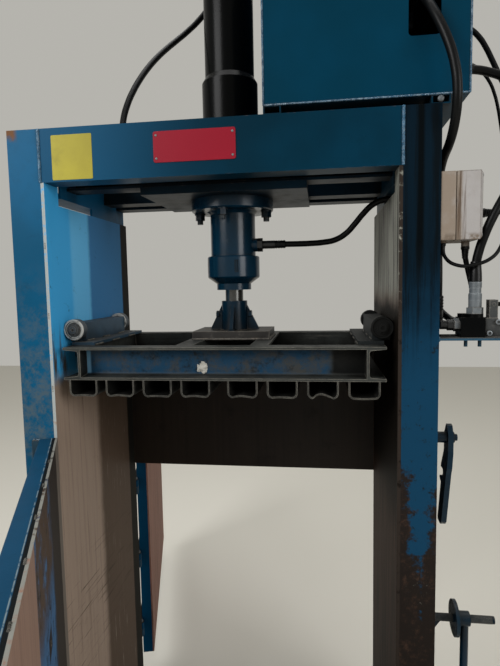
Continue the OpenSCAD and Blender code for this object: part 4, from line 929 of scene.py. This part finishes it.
# %% [markdown]
# The lock stud and the flange bolts end in open threads. A helix would be true to life, but at this size
# nobody sees its slope. A thread is a tube of short cones instead: one pitch is an open ring, an Array
# modifier stacks it to the length of the stud, and its two ends are then filled, so that it is a closed
# solid around the plain bar.

# %% Threads
def thread(radius, pitch, turns, sides=24):
    """A thread on the Z axis, with its radius and pitch in millimetres."""
    core = radius - pitch * 0.3
    crest = radius + pitch * 0.25
    fresh()
    bpy.ops.mesh.primitive_circle_add(vertices=sides, radius=core * MM, fill_type="NOTHING")
    piece = bpy.context.object
    edit("SELECT")
    for height, share in ((pitch / 2, crest / core), (pitch, core / crest)):
        bpy.ops.mesh.extrude_region_move(TRANSFORM_OT_translate={"value": (0, 0, pitch / 2 * MM)})
        bpy.ops.transform.resize(value=(share, share, 1), center_override=(0, 0, height * MM))
    bpy.ops.object.mode_set(mode="OBJECT")
    modify(piece, "ARRAY", count=turns, use_relative_offset=False, use_constant_offset=True,
           constant_offset_displace=(0, 0, pitch * MM), use_merge_vertices=True, merge_threshold=0.00005)
    edit("DESELECT")
    bpy.ops.mesh.select_mode(type="EDGE")
    bpy.ops.mesh.select_non_manifold(extend=False, use_wire=False, use_boundary=True, use_multi_face=False,
                                     use_non_contiguous=False, use_verts=False)
    bpy.ops.mesh.edge_face_add()
    close_mesh()
    return piece


STUD_Y, STUD_Z = -194, 684
BOLT_CIRCLE = 96
BOLT_TURN = math.radians(-7)
BOLT_END = 1676.3
settle(thread(9, 2.5, 19), "lock_thread", dark_look, (507, STUD_Y, STUD_Z), RIGHT)
settle(thread(9, 2.5, 20), "lock_thread_end", dark_look, (596, STUD_Y, STUD_Z), RIGHT)
tails = []
for i in range(4):
    angle = BOLT_TURN + i * math.pi / 2
    base = (BOLT_CIRCLE * math.cos(angle), BOLT_CIRCLE * math.sin(angle), BOLT_END)
    tails.append(moved(thread(7.9, 1.5, 7), base))
settle(joined(tails), "flange_bolt_threads", dark_look)
print("threads ready")

# %% [markdown]
# The frame was welded by hand, and a bead is a row of overlapping ripples, which a smooth tube can't show.
# One ripple is a small squashed ball, and an Array modifier lays a row of them from one end of the seam to
# the other. A Displace modifier with a cloud texture makes the row uneven.

# %% Weld beads
uneven_weld = bpy.data.textures.new("uneven weld", "CLOUDS")
uneven_weld.noise_scale = 0.012


def bead(start, end, width, pitch=3.2):
    """A row of ripples from start to end, in millimetres."""
    way = Vector(end) - Vector(start)
    fresh()
    bpy.ops.mesh.primitive_uv_sphere_add(segments=8, ring_count=5, radius=1)
    piece = bpy.context.object
    piece.scale = (width / 2 * MM, width / 2 * MM, pitch * 0.85 * MM)
    bpy.ops.object.transform_apply(scale=True)
    count = max(2, round(way.length / pitch))
    modify(piece, "ARRAY", count=count, use_relative_offset=False, use_constant_offset=True,
           constant_offset_displace=(0, 0, way.length / (count - 1) * MM))
    moved(piece, start, way)
    modify(piece, "DISPLACE", texture=uneven_weld, texture_coords="GLOBAL", strength=width * 0.16 * MM)
    bpy.ops.object.shade_smooth()
    return piece


def welds(name, seams, look, width, body="frame"):
    """Beads along several seams as one piece."""
    settle(joined([bead(start, end, width) for start, end in seams]), name, look, body=body)


def seam(x, y, z, along, length):
    """The two ends of a straight seam from a place, so many millimetres along an axis."""
    return (x, y, z), tuple(at + length * (axis == along) for at, axis in zip((x, y, z), "XYZ"))


def mirrored(seams):
    return seams + [((-a[0], a[1], a[2]), (-b[0], b[1], b[2])) for a, b in seams]


def on_door(distance, off, height):
    """A place on the open front door, in millimetres, from metres along it and off its outer line."""
    return ((HINGE_X + distance * math.cos(DOOR_TURN) - off * math.sin(DOOR_TURN)) * 1000,
            (HINGE_Y + distance * math.sin(DOOR_TURN) + off * math.cos(DOOR_TURN)) * 1000, height)


print("weld helpers ready")

# %% [markdown]
# A seam is a start, an axis and a length, read off where two plates of the frame meet. The long seams are
# continuous, and the walls are only tacked, as a welder does to keep thin plate flat.

# %% Welds on the frame
blue_look = (weld_paint_and_highlight, "blue_paint")
POST_FACE, POST_SIDE, HOUSING_FACE = -261, 501, -254.6
TACKS = (560, 752, 922, 1052, 1250, 1430, 1600)
HINGES = (240, 640, 1080)
welds("head_seams", mirrored([seam(420, POST_FACE + 1, 1757, "Z", 121)]), blue_look, 8)
welds("housing_seams", [seam(117, HOUSING_FACE, 1902, "Z", 416), seam(557, HOUSING_FACE, 1902, "Z", 416),
                        seam(118, HOUSING_FACE - 0.4, 1900.5, "X", 438)], blue_look, 5)
welds("liner_tacks", [seam(-417, -258.4, tack, "Z", 12) for tack in TACKS], (weld_steel, "worn_steel"), 5)
welds("shelf_seam", [seam(POST_SIDE, -256, z, "Y", 92) for z in (1378, 1371)], blue_look, 5)
welds("hinge_seams", [seam(-476, POST_FACE, z - 36, "Z", 80) for z in HINGES]
      + [seam(-474, POST_FACE, z + 46, "X", 46) for z in HINGES], blue_look, 6)
welds("stud_seam", [seam(POST_SIDE, STUD_Y + off, STUD_Z - 8, "Z", -36) for off in (5, -5)], blue_look, 5)
print("frame welds ready")

# %% [markdown]
# These welds name the body that they ride on, so that they move with it. The bracket's gussets are welded
# on both faces, which two nested loops take up, and the tacks along the door are placed with its own turn.

# %% Welds on the ram and the front door
FOOT_Z, BLOCK_Z, RIB_Z = 1381, 1359, 1277.5
RIBS = (-339, -245, -151, -57, 57, 151, 245, 339)
DOOR_TACKS = (0.20, 0.335, 0.47, 0.605, 0.74)
feet = []
for across in (-6, 6):
    for side in (-1, 1):
        feet.append(seam(36 * side, across, FOOT_Z, "X", 30 * side))
        feet.append(seam(across, 36 * side, FOOT_Z, "Y", 30 * side))
        feet.append(seam(37 * side, across, FOOT_Z + 3, "Z", 56))
    feet.append(seam(across, -37, FOOT_Z + 3, "Z", 56))
welds("bracket_seams", feet, (oiled_paint, "dark_blue_paint"), 5, "ram")
welds("block_seams", [seam(-104, -78, BLOCK_Z, "X", 208), seam(105, -76, BLOCK_Z, "Y", 152),
                      seam(-105, -76, BLOCK_Z, "Y", 152)], (block_steel, "rusty_steel"), 7, "ram")
welds("rib_seams", [seam(rib + side, -254, RIB_Z, "Y", 22) for rib in RIBS for side in (-35, 35)],
      dark_look, 5, "ram")
strips = [seam(327.5, y, 1359.5, "Y", 45) for y in (-200, -90, 30)]
strips += [seam(363, y, 1367, "Y", 40) for y in (-168, -70, 40)]
welds("roller_bar_seams", mirrored(strips), dark_look, 5, "ram")
welds("door_tacks", [(on_door(s, 0.037, 1149.5), on_door(s + 0.012, 0.037, 1149.5)) for s in DOOR_TACKS]
      + [(on_door(0.425, 0.0425, 902), on_door(0.425, 0.0425, 908))], dark_look, 5, "front_door")
print("ram and door welds ready")

# %% [markdown]
# Two plates are riveted or glued to the front beam. They stay blank. Each is a cube that is resized to its
# face, with the corners of its face and then its rims bevelled. A flat plane would do for the picture, but
# the rims catch the light only on a real thickness. The rivets and the screws are turned heads.

# %% Blank plates and their rivets
def blank_plate(name, low, high, corner, finish):
    """A thin plate on the front beam between two corners, in millimetres."""
    fresh()
    bpy.ops.mesh.primitive_cube_add(size=1)
    piece = bpy.context.object
    piece.dimensions = [(b - a) * MM for a, b in zip(low, high)]
    bpy.ops.object.transform_apply(scale=True)
    edit("DESELECT")
    bpy.ops.object.mode_set(mode="OBJECT")
    for e in piece.data.edges:
        a, b = (piece.data.vertices[i].co for i in e.vertices)
        e.select = abs(a.y - b.y) > 0.0001
    bpy.ops.object.mode_set(mode="EDIT")
    bpy.ops.mesh.select_mode(type="EDGE")
    bpy.ops.mesh.bevel(offset=corner * MM, segments=5)
    bpy.ops.object.mode_set(mode="OBJECT")
    modify(piece, "BEVEL", width=0.0004, segments=2, angle_limit=math.radians(60))
    middle = [(a + b) / 2 for a, b in zip(low, high)]
    settle(piece, name, (finish, "blue_paint"), middle)


def screw_head(radius, height):
    """A low domed head."""
    return turned([(-1, radius * 0.9), (0, radius), (height * 0.4, radius), (height * 0.8, radius * 0.8),
                   (height, radius * 0.45)], 20)


blank_plate("red_plate", (-138, -261.6, 1787), (54, -259.8, 1857), 5, red_plate)
blank_plate("yellow_plate", (-388, -260.6, 1759), (-287, -259.8, 1863), 3, yellow_plate)
rivets = [moved(screw_head(2.6, 1.8), (x, -261.4, z), FRONT) for x in (-131, 47) for z in (1796, 1848)]
settle(joined(rivets), "plate_rivets", zinc_look)
lid_screws = [moved(screw_head(4.2, 2.0), (587.6, y, z), RIGHT) for y in (-248, -158) for z in (1602, 1728)]
settle(joined(lid_screws), "lid_screws", zinc_look)
RING = [(-1, 5.8), (0.6, 5.8), (1, 5.2), (1, 3.4), (-1.2, 3.2)]
cover_rings = [moved(turned(RING, 24), (x, -240, z), FRONT) for x, z in ((630, 1411), (612, 1386))]
settle(joined(cover_rings), "cover_screws", zinc_look)
settle(screw_head(7, 5), "rail_bolt", zinc_look, (497, -255, 1890), FRONT)
print("plates and screws ready")

# %% [markdown]
# A scrap of pressed waste sticks to the platen's front web. It is a ball that is squashed and crumpled by a
# Displace modifier, which is enough for something as small as a thumb.

# %% Waste that stuck to the platen
fresh()
bpy.ops.mesh.primitive_ico_sphere_add(subdivisions=4, radius=1)
lump = bpy.context.object
lump.scale = (0.014, 0.006, 0.017)
bpy.ops.object.transform_apply(scale=True)
crumple = bpy.data.textures.new("crumple", "CLOUDS")
crumple.noise_scale = 0.009
modify(lump, "DISPLACE", texture=crumple, strength=0.009)
settle(lump, "stuck_waste", (waste_grey, "worn_steel"), (-47, -216, 1303), body="ram")

# %% [markdown]
# The stage is a pale floor under a pale world that fills the shadows. The light is soft and plain: a wide
# panel above and in front on the left, a weaker one on the right and one overhead, at a level at which
# colours come out about as they are written.

# %% Floor and lights
fresh()
bpy.ops.mesh.primitive_plane_add(size=16, location=(0, 0, 0))
floor = bpy.context.object
floor.name = "stage_floor"
pale = bpy.data.materials.new("pale floor")
pale.use_nodes = True
shader_of(pale).inputs["Base Color"].default_value = colour(206, 203, 194)
shader_of(pale).inputs["Roughness"].default_value = 0.8
floor.data.materials.append(pale)


def panel(name, location, aim, size, power):
    """A square area light that faces the point aim."""
    data = bpy.data.lights.new(name, "AREA")
    data.shape = "SQUARE"
    data.size = size
    data.energy = power
    lamp = bpy.data.objects.new(name, data)
    bpy.context.scene.collection.objects.link(lamp)
    lamp.location = location
    lamp.rotation_euler = (Vector(aim) - Vector(location)).to_track_quat("-Z", "Y").to_euler()


panel("key_left", (-3.2, -3.4, 3.6), (0, 0, 1.3), 2.4, 190)
panel("fill_right", (3.2, -2.6, 2.4), (0, 0, 1.5), 2.0, 70)
panel("top", (0, 0.5, 5.0), (0, 0, 1.0), 3.0, 90)
world = bpy.data.worlds.new("pale world")
world.use_nodes = True
world.node_tree.nodes["Background"].inputs["Color"].default_value = colour(206, 204, 197)
world.node_tree.nodes["Background"].inputs["Strength"].default_value = 0.75
bpy.context.scene.world = world
bpy.context.scene.view_settings.view_transform = "Standard"
print("stage and lights ready")
